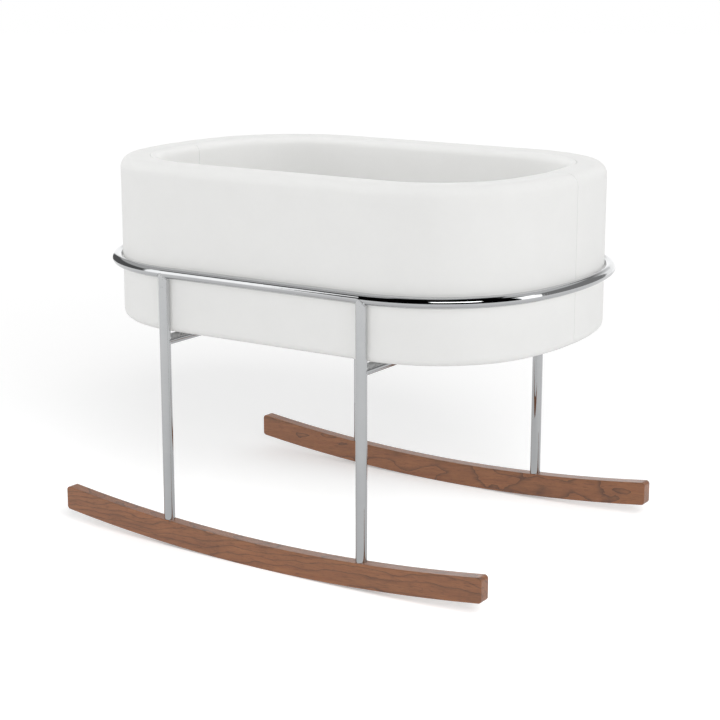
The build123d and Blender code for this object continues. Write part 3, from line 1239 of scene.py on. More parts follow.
# ------------------------------------------------------------------ stand
@dataclass
class WeldFillet:
    """The rounded weld where one tube ends on another of the same size."""

    tube_radius: float = TUBE_R
    size: float = 3.4 * MM
    steps: int = 48
    arc_points: int = 6

    def build(self) -> bmesh.types.BMesh:
        """Builds it for a tube that comes up the Z axis to one along the X axis.

        Returns:
            The closed fillet, round the Z axis.
        """
        bm = bmesh.new()
        along = bm.verts.layers.float.new("along")
        verts = []
        for i in range(self.arc_points + 1):
            vert = bm.verts.new((self.tube_radius + i * MM, 0, 0))
            vert[along] = i / self.arc_points
            verts.append(vert)
        inner = bm.verts.new((self.tube_radius - MM, 0, 0))
        inner[along] = -1.0
        verts.append(inner)
        edges = [bm.edges.new((a, b)) for a, b in zip(verts, verts[1:] + verts[:1])]
        bmesh.ops.spin(
            bm, geom=verts + edges, cent=(0, 0, 0), axis=(0, 0, 1), dvec=(0, 0, 0),
            angle=math.tau, steps=self.steps, use_merge=True, use_duplicate=False,
        )
        for vert in bm.verts:
            self.settle(vert, vert[along])
        bmesh.ops.remove_doubles(bm, verts=bm.verts[:], dist=1e-6)
        bmesh.ops.recalc_face_normals(bm, faces=bm.faces[:])
        return bm

    def settle(self, vert: bmesh.types.BMVert, along: float) -> None:
        """Moves a point of the spun blank to its place in the crease.

        Args:
            vert: The point.
            along: Its share of the way from the first tube to the second, or -1 inside.
        """
        turn = math.atan2(vert.co.y, vert.co.x)
        size = self.size * math.cos(turn) ** 2 + 0.15 * MM
        if along < 0:
            radius, drop = self.tube_radius - 0.6 * MM, -0.6 * MM
        else:
            radius = self.tube_radius + size * (1 - math.cos(along * math.pi / 2))
            drop = size * (1 - math.sin(along * math.pi / 2))
        side = radius * math.sin(turn)
        seat = math.sqrt(max(self.tube_radius**2 - side**2, 0.0))
        vert.co = (radius * math.cos(turn), side, -seat - drop + 0.02 * MM)


@dataclass
class Stand:
    """Chromed frame on two walnut runners."""

    finishes: Finishes
    leg_x: float = 190 * MM

    def build(self) -> list[bpy.types.Object]:
        """Builds the welds and dresses the CAD nodes.

        Returns:
            The new pieces.
        """
        ring_low, ring_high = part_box("frame_ring")
        ring_z = (ring_low.z + ring_high.z) / 2
        side_y = ring_high.y - TUBE_R
        bar_low, bar_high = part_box("crossbar_left")
        bar_z = (bar_low.z + bar_high.z) / 2
        leg_places = [
            Matrix.Translation((sx * self.leg_x, sy * side_y, ring_z))
            for sx in (-1, 1) for sy in (-1, 1)
        ]
        bar_places = []
        for sx in (-1, 1):
            for sy in (-1, 1):
                turned = Matrix(((0, sy, 0), (0, 0, sy), (1, 0, 0))).to_4x4()
                place = Matrix.Translation((sx * self.leg_x, sy * side_y, bar_z))
                bar_places.append(place @ turned)
        pieces = [
            self.weld_piece("leg_welds", leg_places),
            self.weld_piece("crossbar_welds", bar_places),
        ]
        self.dress_nodes()
        return pieces

    def weld_piece(self, name: str, places: list[Matrix]) -> bpy.types.Object:
        """One piece with a fillet at each joint.

        Args:
            name: The piece's name.
            places: Where each fillet goes.

        Returns:
            The piece.
        """
        blank = WeldFillet().build()
        shape = bpy.data.meshes.new(name + "_blank")
        blank.to_mesh(shape)
        blank.free()
        bm = bmesh.new()
        for place in places:
            copy = shape.copy()
            copy.transform(place)
            bm.from_mesh(copy)
            bpy.data.meshes.remove(copy)
        bpy.data.meshes.remove(shape)
        bmesh.ops.recalc_face_normals(bm, faces=bm.faces[:])
        piece = finished_piece(bm, name)
        self.finishes.dress(piece, Slot.CHROME)
        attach(piece, Body.STAND.value)
        return piece

    def dress_nodes(self) -> None:
        """Gives the stand's CAD nodes their finishes."""
        slots = {
            "frame_ring": Slot.CHROME,
            "leg_inserts": Slot.ZINC,
            "runner_bolts": Slot.ZINC,
            "runner_washers": Slot.ZINC,
            "crossbar_pads": Slot.RUBBER,
        }
        for half in Half:
            slots[f"runner_{half.value}"] = Slot.WALNUT
        for side in ("left", "right"):
            slots[f"crossbar_{side}"] = Slot.CHROME
            for half in Half:
                slots[f"leg_{half.value}_{side}"] = Slot.CHROME
        for name, slot in slots.items():
            self.finishes.dress_node(name, slot)


# ------------------------------------------------------------------ basket
@dataclass
class Upholstery:
    """The padded wall: foam on the plywood hoop, an outer cover and a liner, each in two
    halves that are sewn together at the basket's ends."""

    finishes: Finishes
    plan: OvalPlan
    bottom: float
    top: float
    floor: float
    wall: float = 64 * MM
    hem: float = 45 * MM
    base_radius: float = 12 * MM
    rim_outer_radius: float = 20 * MM
    rim_inner_radius: float = 15 * MM
    cloth: float = 1.2 * MM
    gap: float = 0.5 * MM
    core_outer: float = 21.5 * MM
    core_inner: float = 33.5 * MM
    core_top: float = 603 * MM
    board_top: float = 372.5 * MM
    splice: float = 9 * MM
    step: float = 6 * MM
    seam_roll: float = 1.3 * MM
    seam_pull: float = 0.5 * MM
    seam_reach: float = 11 * MM
    rim_crown: float = 1.3 * MM

    @property
    def rim_seam(self) -> float:
        """Depth of the seam between cover and liner, on the rim's inner edge."""
        return self.wall - self.rim_inner_radius

    def cover_profile(self) -> list[Point2]:
        """The outer cover from its hem under the board to the rim seam.

        Returns:
            (depth, z) points.
        """
        r, base = self.rim_outer_radius, self.base_radius
        points = [(self.hem, self.bottom)]
        points += line(points[-1], (base, self.bottom), self.step)
        points += arc((base, self.bottom + base), base, 270, 180, 7)
        points += line(points[-1], (0.0, self.top - r), self.step)
        points += arc((r, self.top - r), r, 180, 90, 10)
        fine = self.rim_seam - 2.2 * MM
        points += line(points[-1], (fine, self.top), 4 * MM)
        points += line(points[-1], (self.rim_seam, self.top), 0.45 * MM)
        return points

    def liner_profile(self) -> list[Point2]:
        """The liner from the rim seam down to the basket's floor.

        Returns:
            (depth, z) points.
        """
        r = self.rim_inner_radius
        points = [(self.rim_seam, self.top)]
        points += arc((self.rim_seam, self.top - r), r, 90, 78, 5)
        points += arc((self.rim_seam, self.top - r), r, 78, 0, 8)
        points += line(points[-1], (self.wall, self.floor + 0.3 * MM), self.step)
        return points

    def uneven(self, place: Vector, half: Half) -> float:
        """The slight softness of a hand-pulled cover.

        Args:
            place: A point of the cloth.
            half: Which half it belongs to.

        Returns:
            A move outwards, in metres.
        """
        shift = Vector((half.seed, 0, 0))
        broad = noise.noise(place * 9.0 + shift)
        fine = noise.noise(place * 34.0 + shift)
        return 0.28 * MM * broad + 0.1 * MM * fine

    def build_cloth(
        self, name: str, half: Half, profile: list[Point2], rim_at_start: bool, slot: Slot
    ) -> bpy.types.Object:
        """Sweeps one half of a sewn cloth and draws it in at its seams.

        Args:
            name: The piece's name, which is also its CAD node's.
            half: Which half.
            profile: (depth, z) points.
            rim_at_start: Whether the rim seam is at the profile's start.
            slot: Its finish.

        Returns:
            The piece.
        """
        sweep = Sweep(self.plan)
        bm = sweep.half(profile)
        length = sum(math.dist(a, b) for a, b in zip(profile, profile[1:]))
        rim_from = self.rim_outer_radius

        def move(place: Vector, rise: float, seam: float) -> float:
            """Outward move of a point of this cloth.

            Args:
                place: The point's place.
                rise: How far along the profile it lies.
                seam: Its distance from the end seam.

            Returns:
                The move, in metres.
            """
            to_rim = rise if rim_at_start else length - rise
            found = self.uneven(place, half)
            found -= seam_dip(seam, self.seam_roll, self.seam_pull, self.seam_reach)
            found -= seam_dip(to_rim, self.seam_roll * 0.6, self.seam_pull * 0.5, 7 * MM)
            depth = self.plan.depth(place.x, place.y)
            if place.z > self.top - 2 * MM and depth > rim_from:
                share = (depth - rim_from) / (self.rim_seam - rim_from)
                found -= self.rim_crown * min(share, 1.0) ** 2
            return found

        sweep.shape_cloth(bm, move, half)
        piece = finished_piece(bm, f"{name}_{half.value}_cloth")
        thicken(piece, self.cloth)
        self.finishes.settle(piece, Body.BASKET, f"{name}_{half.value}", slot)
        return piece

    def foam_profiles(self) -> dict[str, list[Point2]]:
        """Closed sections of the three foam pieces of one half, a little under the cloth.

        Returns:
            Each section's (depth, z) points, by piece.
        """
        skin = self.cloth + self.gap
        base, rim, inner = self.base_radius - skin, self.rim_outer_radius, self.rim_inner_radius
        low = self.bottom + skin
        outer = [(self.core_outer, low)]
        outer += line(outer[-1], (skin + base, low), 10 * MM)
        outer += arc((skin + base, low + base), base, 270, 180, 5)
        outer += line(outer[-1], (skin, self.core_top), 12 * MM)
        outer += line(outer[-1], (self.core_outer, self.core_top), 10 * MM)
        high = self.top - skin - self.rim_crown
        deep = self.wall - skin
        roll = [(skin, self.core_top), (skin, self.top - rim)]
        roll += arc((rim, self.top - rim), rim - skin, 180, 96, 8)
        roll += line(roll[-1], (self.rim_seam, high - 1.5 * MM), 6 * MM)
        roll += arc((self.rim_seam, self.top - inner), inner - skin - 2 * MM, 78, 0, 4)
        roll += line(roll[-1], (deep - 0.4 * MM, self.core_top), 8 * MM)
        lining = [(self.core_inner + self.splice, self.board_top)]
        lining += line(lining[-1], (self.core_inner + self.splice, self.core_top), 12 * MM)
        lining += line(lining[-1], (deep, self.core_top), 8 * MM)
        lining += line(lining[-1], (deep, self.board_top), 12 * MM)
        return {"foam_outer": outer, "rim_foam": roll, "foam_inner": lining}

    def build_foam(self, name: str, half: Half, profile: list[Point2]) -> bpy.types.Object:
        """Sweeps one foam piece.

        Args:
            name: The CAD node's name without its half.
            half: Which half.
            profile: Its closed section.

        Returns:
            The piece.
        """
        sweep = Sweep(self.plan, step=14 * MM)
        bm = sweep.half(profile, closed=True)

        def move(place: Vector, rise: float, seam: float) -> float:
            """Draws the foam in under the end seams."""
            return -seam_dip(seam, self.seam_roll, self.seam_pull, self.seam_reach)

        sweep.shape_cloth(bm, move, half)
        piece = finished_piece(bm, f"{name}_{half.value}_pad")
        self.finishes.settle(piece, Body.BASKET, f"{name}_{half.value}", Slot.FOAM)
        return piece

    def build(self) -> list[bpy.types.Object]:
        """Builds foam, cover and liner of both halves.

        Returns:
            The pieces.
        """
        pieces = []
        for half in Half:
            for name, profile in self.foam_profiles().items():
                pieces.append(self.build_foam(name, half, profile))
            pieces.append(
                self.build_cloth("cover", half, self.cover_profile(), False, Slot.COVER)
            )
            pieces.append(
                self.build_cloth("liner", half, self.liner_profile(), True, Slot.LINER)
            )
        return pieces


@dataclass
class BasketFloor:
    """Cloth on the basket's floor, the dust cover under it, and the wooden parts."""

    finishes: Finishes
    plan: OvalPlan
    wall: float = 64 * MM
    dust_inset: float = 30 * MM
    hem: float = 9 * MM

    def build(self) -> list[bpy.types.Object]:
        """Builds both cloths and dresses the CAD nodes.

        Returns:
            The new pieces.
        """
        pieces = [self.floor_cloth(), self.dust_cover()]
        slots = {
            "base_board": Slot.PLYWOOD,
            "base_screws": Slot.ZINC,
            "splice_screws": Slot.ZINC,
            "cover_staples": Slot.ZINC,
        }
        for half in Half:
            slots[f"wall_core_{half.value}"] = Slot.PLYWOOD
        for side in ("left", "right"):
            slots[f"wall_splice_{side}"] = Slot.PLYWOOD
        for name, slot in slots.items():
            self.finishes.dress_node(name, slot)
        return pieces

    def floor_cloth(self) -> bpy.types.Object:
        """The cloth on the floor, sewn to the liner round its edge.

        Returns:
            The piece.
        """
        low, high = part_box("liner_floor")
        bm = oval_sheet(self.plan, self.wall + 0.6 * MM, high.z, 7 * MM)
        seam = bm.verts.layers.float["seam_distance"]
        for vert in bm.verts:
            ripple = noise.noise(vert.co * 22.0) + 0.5 * noise.noise(vert.co * 60.0)
            rise = 0.25 * MM * ripple + 0.9 * MM * math.exp(-vert[seam] / (5 * MM))
            vert.co.z += max(rise - 0.35 * MM, -0.3 * MM)
        area = sum(f.calc_area() for f in bm.faces)
        piece = finished_piece(bm, "liner_floor_cloth")
        thicken(piece, 1.0 * MM)
        self.finishes.settle(piece, Body.BASKET, "liner_floor", Slot.LINER)
        return piece

    def dust_cover(self) -> bpy.types.Object:
        """The cloth stapled under the basket, its hem folded in.

        Returns:
            The piece.
        """
        low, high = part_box("dust_cover")
        bm = oval_sheet(self.plan, self.dust_inset, high.z - 0.1 * MM, 9 * MM)
        area = sum(f.calc_area() for f in bm.faces)
        edge = [e for e in bm.edges if e.is_boundary]
        fold = bmesh.ops.extrude_edge_only(bm, edges=edge)
        turned = [g for g in fold["geom"] if isinstance(g, bmesh.types.BMVert)]
        for vert in turned:
            vert.co -= self.plan.outward(vert.co.x, vert.co.y) * self.hem
            vert.co.z -= 0.45 * MM
        seam = bm.verts.layers.float["seam_distance"]
        for vert in bm.verts:
            if vert[seam] > self.hem + 4 * MM:
                vert.co.z -= 0.12 * MM * (1 + noise.noise(vert.co * 26.0))
        bmesh.ops.recalc_face_normals(bm, faces=bm.faces[:])
        piece = finished_piece(bm, "dust_cover_cloth")
        thicken(piece, 0.3 * MM)
        self.finishes.settle(piece, Body.BASKET, "dust_cover", Slot.DUST)
        return piece

# ------------------------------------------------------------------ mattress
@dataclass
class Mattress:
    """Foam core in a ticking, with a fitted sheet drawn over it."""

    finishes: Finishes
    plan: OvalPlan
    depth: float = 68 * MM
    voxel: float = 5.5 * MM
    edge_radius: float = 9 * MM
    shrink: float = 3.6 * MM
    pressure: float = 4.0
    frames: int = 20
    cap: float = 4.0 * MM
    give: float = 0.6 * MM
    clear: float = 0.5 * MM
    underturn: float = 52 * MM
    hem_lift: float = 1.3 * MM

    def build(self) -> list[bpy.types.Object]:
        """Builds core, ticking, fitted sheet and the sheet's elastic.

        Returns:
            The pieces.
        """
        low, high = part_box("fitted_sheet")
        core = self.core(low.z, high.z)
        ticking = self.ticking(low.z, high.z)
        sheet, elastic = self.fitted_sheet(ticking, low.z)
        return [core, ticking, sheet, elastic]

    def slab(self, skin: float, low: float, high: float) -> bmesh.types.BMesh:
        """A closed oval slab with rounded edges.

        Args:
            skin: How far it stays inside the mattress's space.
            low: Its underside.
            high: Its top.

        Returns:
            The slab.
        """
        depth, r = self.depth + skin, self.edge_radius
        profile = [(depth + r, low)]
        profile += arc((depth + r, low + r), r, 270, 180, 5)
        profile += line(profile[-1], (depth, high - r), 8 * MM)
        profile += arc((depth + r, high - r), r, 180, 90, 5)
        bm = Sweep(self.plan, step=14 * MM, seam_steps=1, lip_steps=1).half(profile)
        ring = bmesh.ops.duplicate(bm, geom=bm.verts[:] + bm.edges[:] + bm.faces[:])
        verts = [g for g in ring["geom"] if isinstance(g, bmesh.types.BMVert)]
        bmesh.ops.rotate(
            bm, verts=verts, cent=(0, 0, 0), matrix=Matrix.Rotation(math.pi, 3, "Z")
        )
        bmesh.ops.remove_doubles(bm, verts=bm.verts[:], dist=MERGE_DIST)
        bmesh.ops.holes_fill(bm, edges=[e for e in bm.edges if e.is_boundary], sides=0)
        bmesh.ops.recalc_face_normals(bm, faces=bm.faces[:])
        return bm

    def core(self, low: float, high: float) -> bpy.types.Object:
        """The foam core, inside the ticking.

        Args:
            low: The mattress's underside.
            high: The mattress's top.

        Returns:
            The piece.
        """
        bm = self.slab(7 * MM, low + 5 * MM, high - 5.5 * MM)
        piece = finished_piece(bm, "mattress_core_pad")
        self.finishes.settle(piece, Body.MATTRESS, "mattress_foam", Slot.FOAM)
        return piece

    def ticking(self, low: float, high: float) -> bpy.types.Object:
        """The ticking, swelled by its filling and flat where it lies.

        Args:
            low: The mattress's underside.
            high: The mattress's top.

        Returns:
            The piece.
        """
        bm = self.slab(self.shrink, low + 3.0 * MM, high - 4.4 * MM)
        piece = finished_piece(bm, "mattress_ticking_pad")
        self.remesh(piece)
        start = [v.co.copy() for v in piece.data.vertices]
        self.swell(piece)
        floor, ceiling = low + self.hem_lift, high - 1.3 * MM
        for vert, was in zip(piece.data.vertices, start):
            move = vert.co - was
            if move.length > self.cap:
                vert.co = was + move.normalized() * self.cap
            sunk = self.plan.depth(vert.co.x, vert.co.y) - self.plan.depth(was.x, was.y)
            if sunk > self.give:
                vert.co += self.plan.outward(vert.co.x, vert.co.y) * (sunk - self.give)
            if was.z > (low + high) / 2:
                vert.co.z = max(vert.co.z, was.z - self.give)
            else:
                vert.co.z = min(vert.co.z, was.z + self.give)
            vert.co.z = min(max(vert.co.z, floor), ceiling)
            spare = self.plan.depth(vert.co.x, vert.co.y) - self.depth - 0.9 * MM
            if spare < 0:
                vert.co += self.plan.outward(vert.co.x, vert.co.y) * spare
        self.map_cloth(piece)
        self.finishes.settle(piece, Body.MATTRESS, "mattress_cover", Slot.LINER)
        return piece

    def remesh(self, piece: bpy.types.Object) -> None:
        """Gives a piece an even mesh of small squares.

        Args:
            piece: The piece.
        """
        even = piece.modifiers.new("even", "REMESH")
        even.mode = "VOXEL"
        even.voxel_size = self.voxel
        even.use_smooth_shade = True
        self.apply(piece)

    @staticmethod
    def apply(piece: bpy.types.Object) -> None:
        """Replaces a piece's mesh by what its modifiers make of it.

        Args:
            piece: The piece.
        """
        graph = bpy.context.evaluated_depsgraph_get()
        made = bpy.data.meshes.new_from_object(piece.evaluated_get(graph))
        old = piece.data
        piece.modifiers.clear()
        piece.data = made
        bpy.data.meshes.remove(old)

    def swell(self, piece: bpy.types.Object) -> None:
        """Swells a piece as its filling does, by cloth simulation.

        Args:
            piece: The piece.
        """
        cloth = piece.modifiers.new("cloth", "CLOTH").settings
        cloth.quality = 5
        cloth.mass = 0.25
        cloth.use_pressure = True
        cloth.uniform_pressure_force = self.pressure
        cloth.tension_stiffness = 18
        cloth.compression_stiffness = 18
        cloth.bending_stiffness = 1.5
        cloth.effector_weights.gravity = 0.0
        scene = bpy.context.scene
        for number in range(1, self.frames + 1):
            scene.frame_set(number)
        self.apply(piece)
        scene.frame_set(1)

    def map_cloth(self, piece: bpy.types.Object) -> None:
        """Maps the cloth of a closed piece from above and marks how far its edge is.

        Args:
            piece: The piece.
        """
        mesh = piece.data
        seam = mesh.attributes.new("seam_distance", "FLOAT", "POINT")
        for vert in mesh.vertices:
            inside = self.plan.depth(vert.co.x, vert.co.y) - self.depth
            seam.data[vert.index].value = max(inside, 0.0)
        cloth = mesh.uv_layers.new(name="cloth")
        for loop in mesh.loops:
            place = mesh.vertices[loop.vertex_index].co
            out = self.plan.outward(place.x, place.y)
            cloth.data[loop.index].uv = (place.x + out.x * place.z, place.y + out.y * place.z)

    def fitted_sheet(
        self, ticking: bpy.types.Object, low: float
    ) -> tuple[bpy.types.Object, bpy.types.Object]:
        """The sheet over the ticking, gathered under it by elastic.

        Args:
            ticking: The finished ticking.
            low: The mattress's underside.

        Returns:
            The sheet and its elastic hem.
        """
        bm = bmesh.new()
        bm.from_mesh(ticking.data)
        plan, limit = self.plan, self.depth + self.underturn
        under = [
            v for v in bm.verts
            if v.co.z < low + 12 * MM and plan.depth(v.co.x, v.co.y) > limit
        ]
        bmesh.ops.delete(bm, geom=under, context="VERTS")
        bm.normal_update()
        laid = [(v, v.co.copy(), v.normal.copy()) for v in bm.verts]
        for vert in bm.verts:
            self.lay_sheet(vert, low)
        bmesh.ops.smooth_vert(bm, verts=bm.verts[:], factor=0.35, use_axis_x=True,
                              use_axis_y=True, use_axis_z=True)
        for vert, below, out in laid:
            off = (vert.co - below).dot(out)
            vert.co += out * max(self.clear - off, 0.0)
            vert.co.z = max(vert.co.z, low + 0.25 * MM)
        area = sum(f.calc_area() for f in bm.faces)
        sheet = finished_piece(bm, "fitted_sheet_cloth")
        thicken(sheet, 0.35 * MM)
        self.finishes.settle(sheet, Body.MATTRESS, "fitted_sheet", Slot.COTTON)
        elastic = self.elastic(low, limit)
        return sheet, elastic

    def lay_sheet(self, vert: bmesh.types.BMVert, low: float) -> None:
        """Moves a point of the sheet off the ticking, with its wrinkles and gathers.

        Args:
            vert: The point.
            low: The mattress's underside.
        """
        place = vert.co.copy()
        run = self.plan.run(place.x, place.y)
        inside = self.plan.depth(place.x, place.y) - self.depth
        on_top = place.z > low + 30 * MM
        lift = 0.45 * MM
        if on_top:
            along = noise.noise(Vector((place.x * 7, place.y * 24, 1.7)))
            across = noise.noise(Vector((place.x * 30, place.y * 9, 4.1)))
            lift += 0.3 * MM * max(along, 0.0) + 0.25 * MM * max(across, 0.0)
        else:
            fold = math.sin(run / (11 * MM) + 3 * noise.noise(place * 9))
            share = min(max((low + 24 * MM - place.z) / (20 * MM), 0.0), 1.0)
            lift += (0.15 + 0.35 * share) * MM * fold
            if inside > 14 * MM:
                lift = 0.3 * MM + 0.3 * MM * fold
        vert.co = place + vert.normal * lift

    def elastic(self, low: float, limit: float) -> bpy.types.Object:
        """The elastic in the sheet's hem, gathered into small waves.

        Args:
            low: The mattress's underside.
            limit: Depth of the sheet's hem.

        Returns:
            The piece.
        """
        profile = [
            (limit + 3.2 * MM * math.cos(a), low + 0.75 * MM + 0.5 * MM * math.sin(a))
            for a in (math.tau * i / 8 for i in range(8))
        ]
        bm = Sweep(self.plan, step=4 * MM, seam_steps=2, lip_steps=1).half(profile, closed=True)
        other = bmesh.ops.duplicate(bm, geom=bm.verts[:] + bm.edges[:] + bm.faces[:])
        verts = [g for g in other["geom"] if isinstance(g, bmesh.types.BMVert)]
        bmesh.ops.rotate(
            bm, verts=verts, cent=(0, 0, 0), matrix=Matrix.Rotation(math.pi, 3, "Z")
        )
        caps = [f for f in bm.faces if all(abs(v.co.y) < 1e-6 for v in f.verts)]
        bmesh.ops.delete(bm, geom=caps, context="FACES")
        bmesh.ops.remove_doubles(bm, verts=bm.verts[:], dist=MERGE_DIST)
        for vert in bm.verts:
            wave = math.sin(self.plan.run(vert.co.x, vert.co.y) / (3.2 * MM))
            vert.co += self.plan.outward(vert.co.x, vert.co.y) * 0.8 * MM * wave
            vert.co.z += 0.12 * MM * wave
        bmesh.ops.recalc_face_normals(bm, faces=bm.faces[:])
        piece = finished_piece(bm, "sheet_elastic")
        self.map_cloth(piece)
        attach(piece, Body.MATTRESS.value)
        self.finishes.dress(piece, Slot.COTTON)
        return piece


# ------------------------------------------------------------------ studio
@dataclass(frozen=True)
class Panel:
    """A light or dark card that polished metal reflects."""

    azimuth: float
    elevation: float
    half_width: float
    half_height: float
    value: float

    def axes(self) -> tuple[Vector, Vector, Vector]:
        """Directions to its middle, along it and up it.

        Returns:
            The three unit vectors.
        """
        a, e = math.radians(self.azimuth), math.radians(self.elevation)
        middle = Vector((math.sin(a) * math.cos(e), -math.cos(a) * math.cos(e), math.sin(e)))
        along = Vector((math.cos(a), math.sin(a), 0.0))
        return middle, along, along.cross(middle) * -1.0


@dataclass(frozen=True)
class Softbox:
    """A large soft light aimed at the basket."""

    name: str
    azimuth: float
    elevation: float
    distance: float
    size: float
    watts: float
    lights: Lit = Lit.OBJECT

    def build(self, target: Vector, floor: bpy.types.Object) -> None:
        """Adds the light.

        Args:
            target: What it is aimed at.
            floor: The studio floor.
        """
        lamp = bpy.data.lights.new(self.name, "AREA")
        lamp.shape = "DISK"
        lamp.size = self.size
        lamp.energy = self.watts
        holder = bpy.data.objects.new(self.name, lamp)
        bpy.context.scene.collection.objects.link(holder)
        a, e = math.radians(self.azimuth), math.radians(self.elevation)
        way = Vector((math.sin(a) * math.cos(e), -math.cos(a) * math.cos(e), math.sin(e)))
        holder.location = target + way * self.distance
        holder.rotation_mode = "QUATERNION"
        holder.rotation_quaternion = (-way).to_track_quat("-Z", "Y")
        holder.visible_glossy = False
        linking = holder.light_linking
        for_floor = self.lights is Lit.FLOOR
        linking.receiver_collection = self.gather("_lights", lambda o: (o == floor) is for_floor)
        if not for_floor:
            linking.blocker_collection = self.gather(
                "_shading", lambda o: not o.name.startswith(THIN_TUBES)
            )

    def gather(
        self, suffix: str, wanted: Callable[[bpy.types.Object], bool]
    ) -> bpy.types.Collection:
        """Collects the meshes that pass a test.

        Args:
            suffix: Put after the light's name to name the collection.
            wanted: The test.

        Returns:
            The collection.
        """
        found = bpy.data.collections.new(self.name + suffix)
        for o in bpy.context.scene.objects:
            if o.type == "MESH" and wanted(o):
                found.objects.link(o)
        return found


def mirrored_first(s: Shader, path: bpy.types.Node) -> Socket:
    """Whether light reaches the eye by reflections alone.

    Args:
        s: The shader builder.
        path: Its Light Path node.

    Returns:
        1 if so, and 0 otherwise.
    """
    sharp = s.math("LESS_THAN", path.outputs["Diffuse Depth"], 0.5)
    return s.math("MULTIPLY", path.outputs["Is Glossy Ray"], sharp)


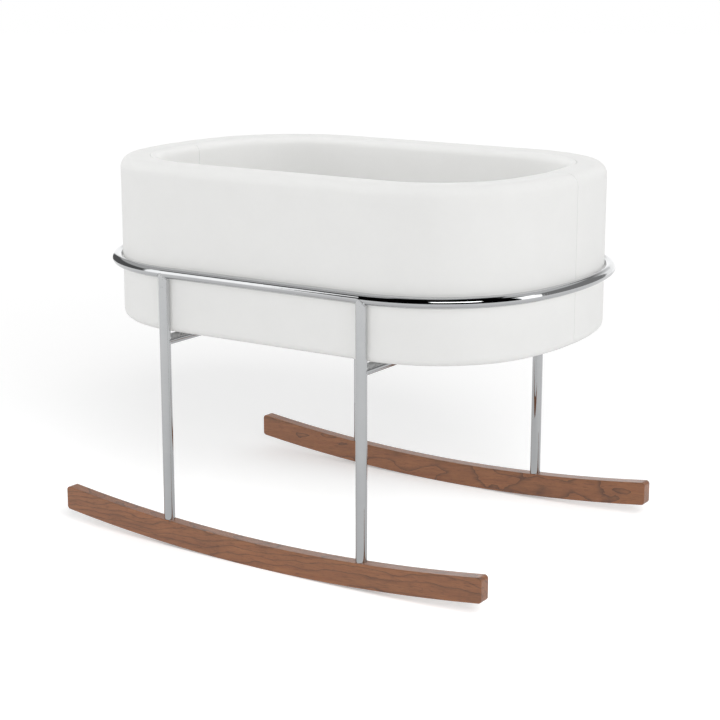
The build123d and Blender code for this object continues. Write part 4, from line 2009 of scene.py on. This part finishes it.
@dataclass
class Studio:
    """Pale floor, soft light and the camera."""

    floor_radius: float = 16.0
    floor_colour: Colour = (0.90, 0.90, 0.90)
    floor_bounce: Colour = (0.72, 0.72, 0.72)
    floor_glow: float = 0.26
    floor_fade: tuple[float, float] = (1.1, 2.6)
    far_white: float = 1.02
    dome_low: float = 1.22
    dome_high: float = 0.36
    metal_near: tuple[float, ...] = (0.3, 1.0, 0.68, 0.83)
    metal_far: tuple[float, ...] = (1.0, 2.1, 0.0, 0.12)
    metal_reach: float = 2.9
    camera_at: tuple[float, float, float] = (1.6237, -2.4362, 0.9795)
    camera_azimuth: float = 33.679
    camera_elevation: float = 13.36
    lens: float = 88.94
    softboxes: tuple[Softbox, ...] = (
        Softbox("right_key", 108, 16, 4.0, 2.4, 26.0),
        Softbox("left_fill", -72, 14, 4.0, 2.4, 22.0),
        Softbox("front_fill", 5, 12, 4.0, 2.4, 9.0),
        Softbox("floor_key", 45, 31, 4.0, 2.2, 118.0, Lit.FLOOR),
        Softbox("rim_fill", 0, 86, 3.0, 2.6, 28.0),
    )
    panels: tuple[Panel, ...] = (
        Panel(20, 32, 1.7, 1.11, 0.001),
        Panel(80, 32, 0.55, 1.11, 0.001),
        Panel(-92, 5, 0.7, 0.33, 0.12),
        Panel(-92, 50, 0.6, 0.5, 0.55),
        Panel(-46, 9, 0.19, 0.36, 1.6),
        Panel(48, 26, 0.36, 0.1, 4.5),
        Panel(148, 8, 0.42, 0.36, 0.28),
        Panel(150, 45, 0.5, 0.28, 0.7),
        Panel(113, 12, 0.19, 0.36, 2.2),
    )

    def build(self) -> None:
        """Builds everything that isn't the object."""
        low, high = CAD_BOX
        target = (Vector(low) + Vector(high)) / 2
        self.build_world()
        floor = self.build_floor()
        for softbox in self.softboxes:
            softbox.build(target, floor)
        self.build_camera()
        bpy.context.scene.view_settings.view_transform = "Standard"

    def build_world(self) -> None:
        """White to the eye, an even dome for the light, and cards for the metal."""
        world = bpy.data.worlds.new("studio")
        bpy.context.scene.world = world
        world.use_nodes = True
        world.node_tree.nodes.clear()
        s = Shader(world.node_tree)
        path = s.node("ShaderNodeLightPath")
        seen = s.node("ShaderNodeBackground", {"Color": WHITE, "Strength": 1.0})
        way = s.node("ShaderNodeTexCoord").outputs["Generated"]
        height = s.node("ShaderNodeSeparateXYZ", {0: way}).outputs[2]
        strength = s.span(height, 0.3, 0.85, self.dome_low, self.dome_high)
        dome = s.node("ShaderNodeBackground", {"Color": WHITE, "Strength": strength})
        cards = s.node("ShaderNodeBackground", {"Color": self.card_colour(s), "Strength": 1.0})
        metal = mirrored_first(s, path)
        first = s.node("ShaderNodeMixShader", {0: metal, 1: dome.outputs[0], 2: cards.outputs[0]})
        camera = path.outputs["Is Camera Ray"]
        both = s.node("ShaderNodeMixShader", {0: camera, 1: first.outputs[0], 2: seen.outputs[0]})
        s.node("ShaderNodeOutputWorld", {0: both.outputs[0]})

    def card_colour(self, s: Shader) -> Socket:
        """What polished metal sees of the room.

        Args:
            s: The world's shader builder.

        Returns:
            The colour by direction.
        """
        way = s.node("ShaderNodeTexCoord").outputs["Generated"]
        height = s.node("ShaderNodeSeparateXYZ", {0: way}).outputs[2]
        value = s.span(height, 0.22, 0.42, 1.25, 0.25)
        value = s.math("ADD", value, s.span(height, 0.85, 1.0, 0.0, 0.25))
        for panel in self.panels:
            middle, along, up = panel.axes()
            ahead, across, above = (
                s.node("ShaderNodeVectorMath", {0: way, 1: axis}, operation="DOT_PRODUCT").outputs[
                    "Value"
                ]
                for axis in (middle, along, up)
            )
            inside = s.math("GREATER_THAN", ahead, 0.0)
            for reach, half in ((across, panel.half_width), (above, panel.half_height)):
                share = s.math("DIVIDE", s.math("ABSOLUTE", reach), s.math("MULTIPLY", ahead, half))
                inside = s.math("MULTIPLY", inside, s.span(share, 0.9, 1.05, 1.0, 0.0))
            rest = s.math("MULTIPLY", value, s.math("SUBTRACT", 1.0, inside))
            value = s.math("ADD", rest, s.math("MULTIPLY", inside, panel.value))
        return s.node("ShaderNodeCombineColor", {0: value, 1: value, 2: value}).outputs[0]

    def build_floor(self) -> bpy.types.Object:
        """A pale floor that fades to white.

        Returns:
            The floor.
        """
        bm = bmesh.new()
        bmesh.ops.create_circle(bm, cap_ends=True, segments=64, radius=self.floor_radius)
        floor = finished_piece(bm, "studio_floor", smooth=False)
        material = bpy.data.materials.new("pale_floor")
        material.use_nodes = True
        material.node_tree.nodes.clear()
        s = Shader(material.node_tree)
        path = s.node("ShaderNodeLightPath")
        camera, metal = path.outputs["Is Camera Ray"], mirrored_first(s, path)
        away = s.node("ShaderNodeVectorMath", {0: s.object_vector()}, operation="LENGTH")
        fade = s.span(away.outputs["Value"], *self.floor_fade, 0.0, 1.0)
        soft = path.outputs["Is Diffuse Ray"]
        matt = s.node(
            "ShaderNodeBsdfDiffuse", {"Color": s.mix(soft, self.floor_colour, self.floor_bounce)}
        )
        glow = s.math("MULTIPLY", camera, self.floor_glow)
        lift = s.node("ShaderNodeEmission", {"Strength": glow})
        near = s.node("ShaderNodeAddShader", {0: matt.outputs[0], 1: lift.outputs[0]})
        white = s.node("ShaderNodeEmission", {"Color": WHITE, "Strength": self.far_white})
        fade = s.math("MULTIPLY", fade, camera)
        pale = s.node("ShaderNodeMixShader", {0: fade, 1: near.outputs[0], 2: white.outputs[0]})
        reach = away.outputs["Value"]
        grey = s.math(
            "ADD", s.span(reach, *self.metal_near), s.span(reach, *self.metal_far)
        )
        grey = s.node("ShaderNodeEmission", {"Strength": grey})
        beyond = s.math("GREATER_THAN", reach, self.metal_reach)
        clear = s.node("ShaderNodeBsdfTransparent")
        mirrored = s.node(
            "ShaderNodeMixShader", {0: beyond, 1: grey.outputs[0], 2: clear.outputs[0]}
        )
        both = s.node("ShaderNodeMixShader", {0: metal, 1: pale.outputs[0], 2: mirrored.outputs[0]})
        s.node("ShaderNodeOutputMaterial", {0: both.outputs[0]})
        floor.data.materials.append(material)
        return floor

    def build_camera(self) -> None:
        """The camera, at the height of a person who stands back from the bassinet."""
        camera = bpy.data.cameras.new("camera")
        camera.lens = self.lens
        camera.sensor_width = 36.0
        camera.clip_end = 100.0
        holder = bpy.data.objects.new("camera", camera)
        bpy.context.scene.collection.objects.link(holder)
        a, e = math.radians(self.camera_azimuth), math.radians(self.camera_elevation)
        back = Vector((math.sin(a) * math.cos(e), -math.cos(a) * math.cos(e), math.sin(e)))
        holder.location = self.camera_at
        holder.rotation_mode = "QUATERNION"
        holder.rotation_quaternion = (-back).to_track_quat("-Z", "Y")
        bpy.context.scene.camera = holder


def main() -> None:
    """Builds the sub-assemblies in order and reports their pieces."""
    logging.basicConfig(level=logging.INFO, format="%(name)s: %(message)s")
    finishes = Finishes()
    cover_low, cover_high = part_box("cover_front")
    plan = OvalPlan(half_length=cover_high.x, half_width=-cover_low.y)
    floor_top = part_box("liner_floor")[1].z
    assemblies = (
        Stand(finishes),
        Upholstery(finishes, plan, cover_low.z, cover_high.z, floor_top),
        BasketFloor(finishes, plan),
        Mattress(finishes, plan),
    )
    for assembly in assemblies:
        for piece in assembly.build():
            log.info("%s: %d faces", piece.name, len(piece.data.polygons))
    Studio().build()


if __name__ == "__main__":
    main()
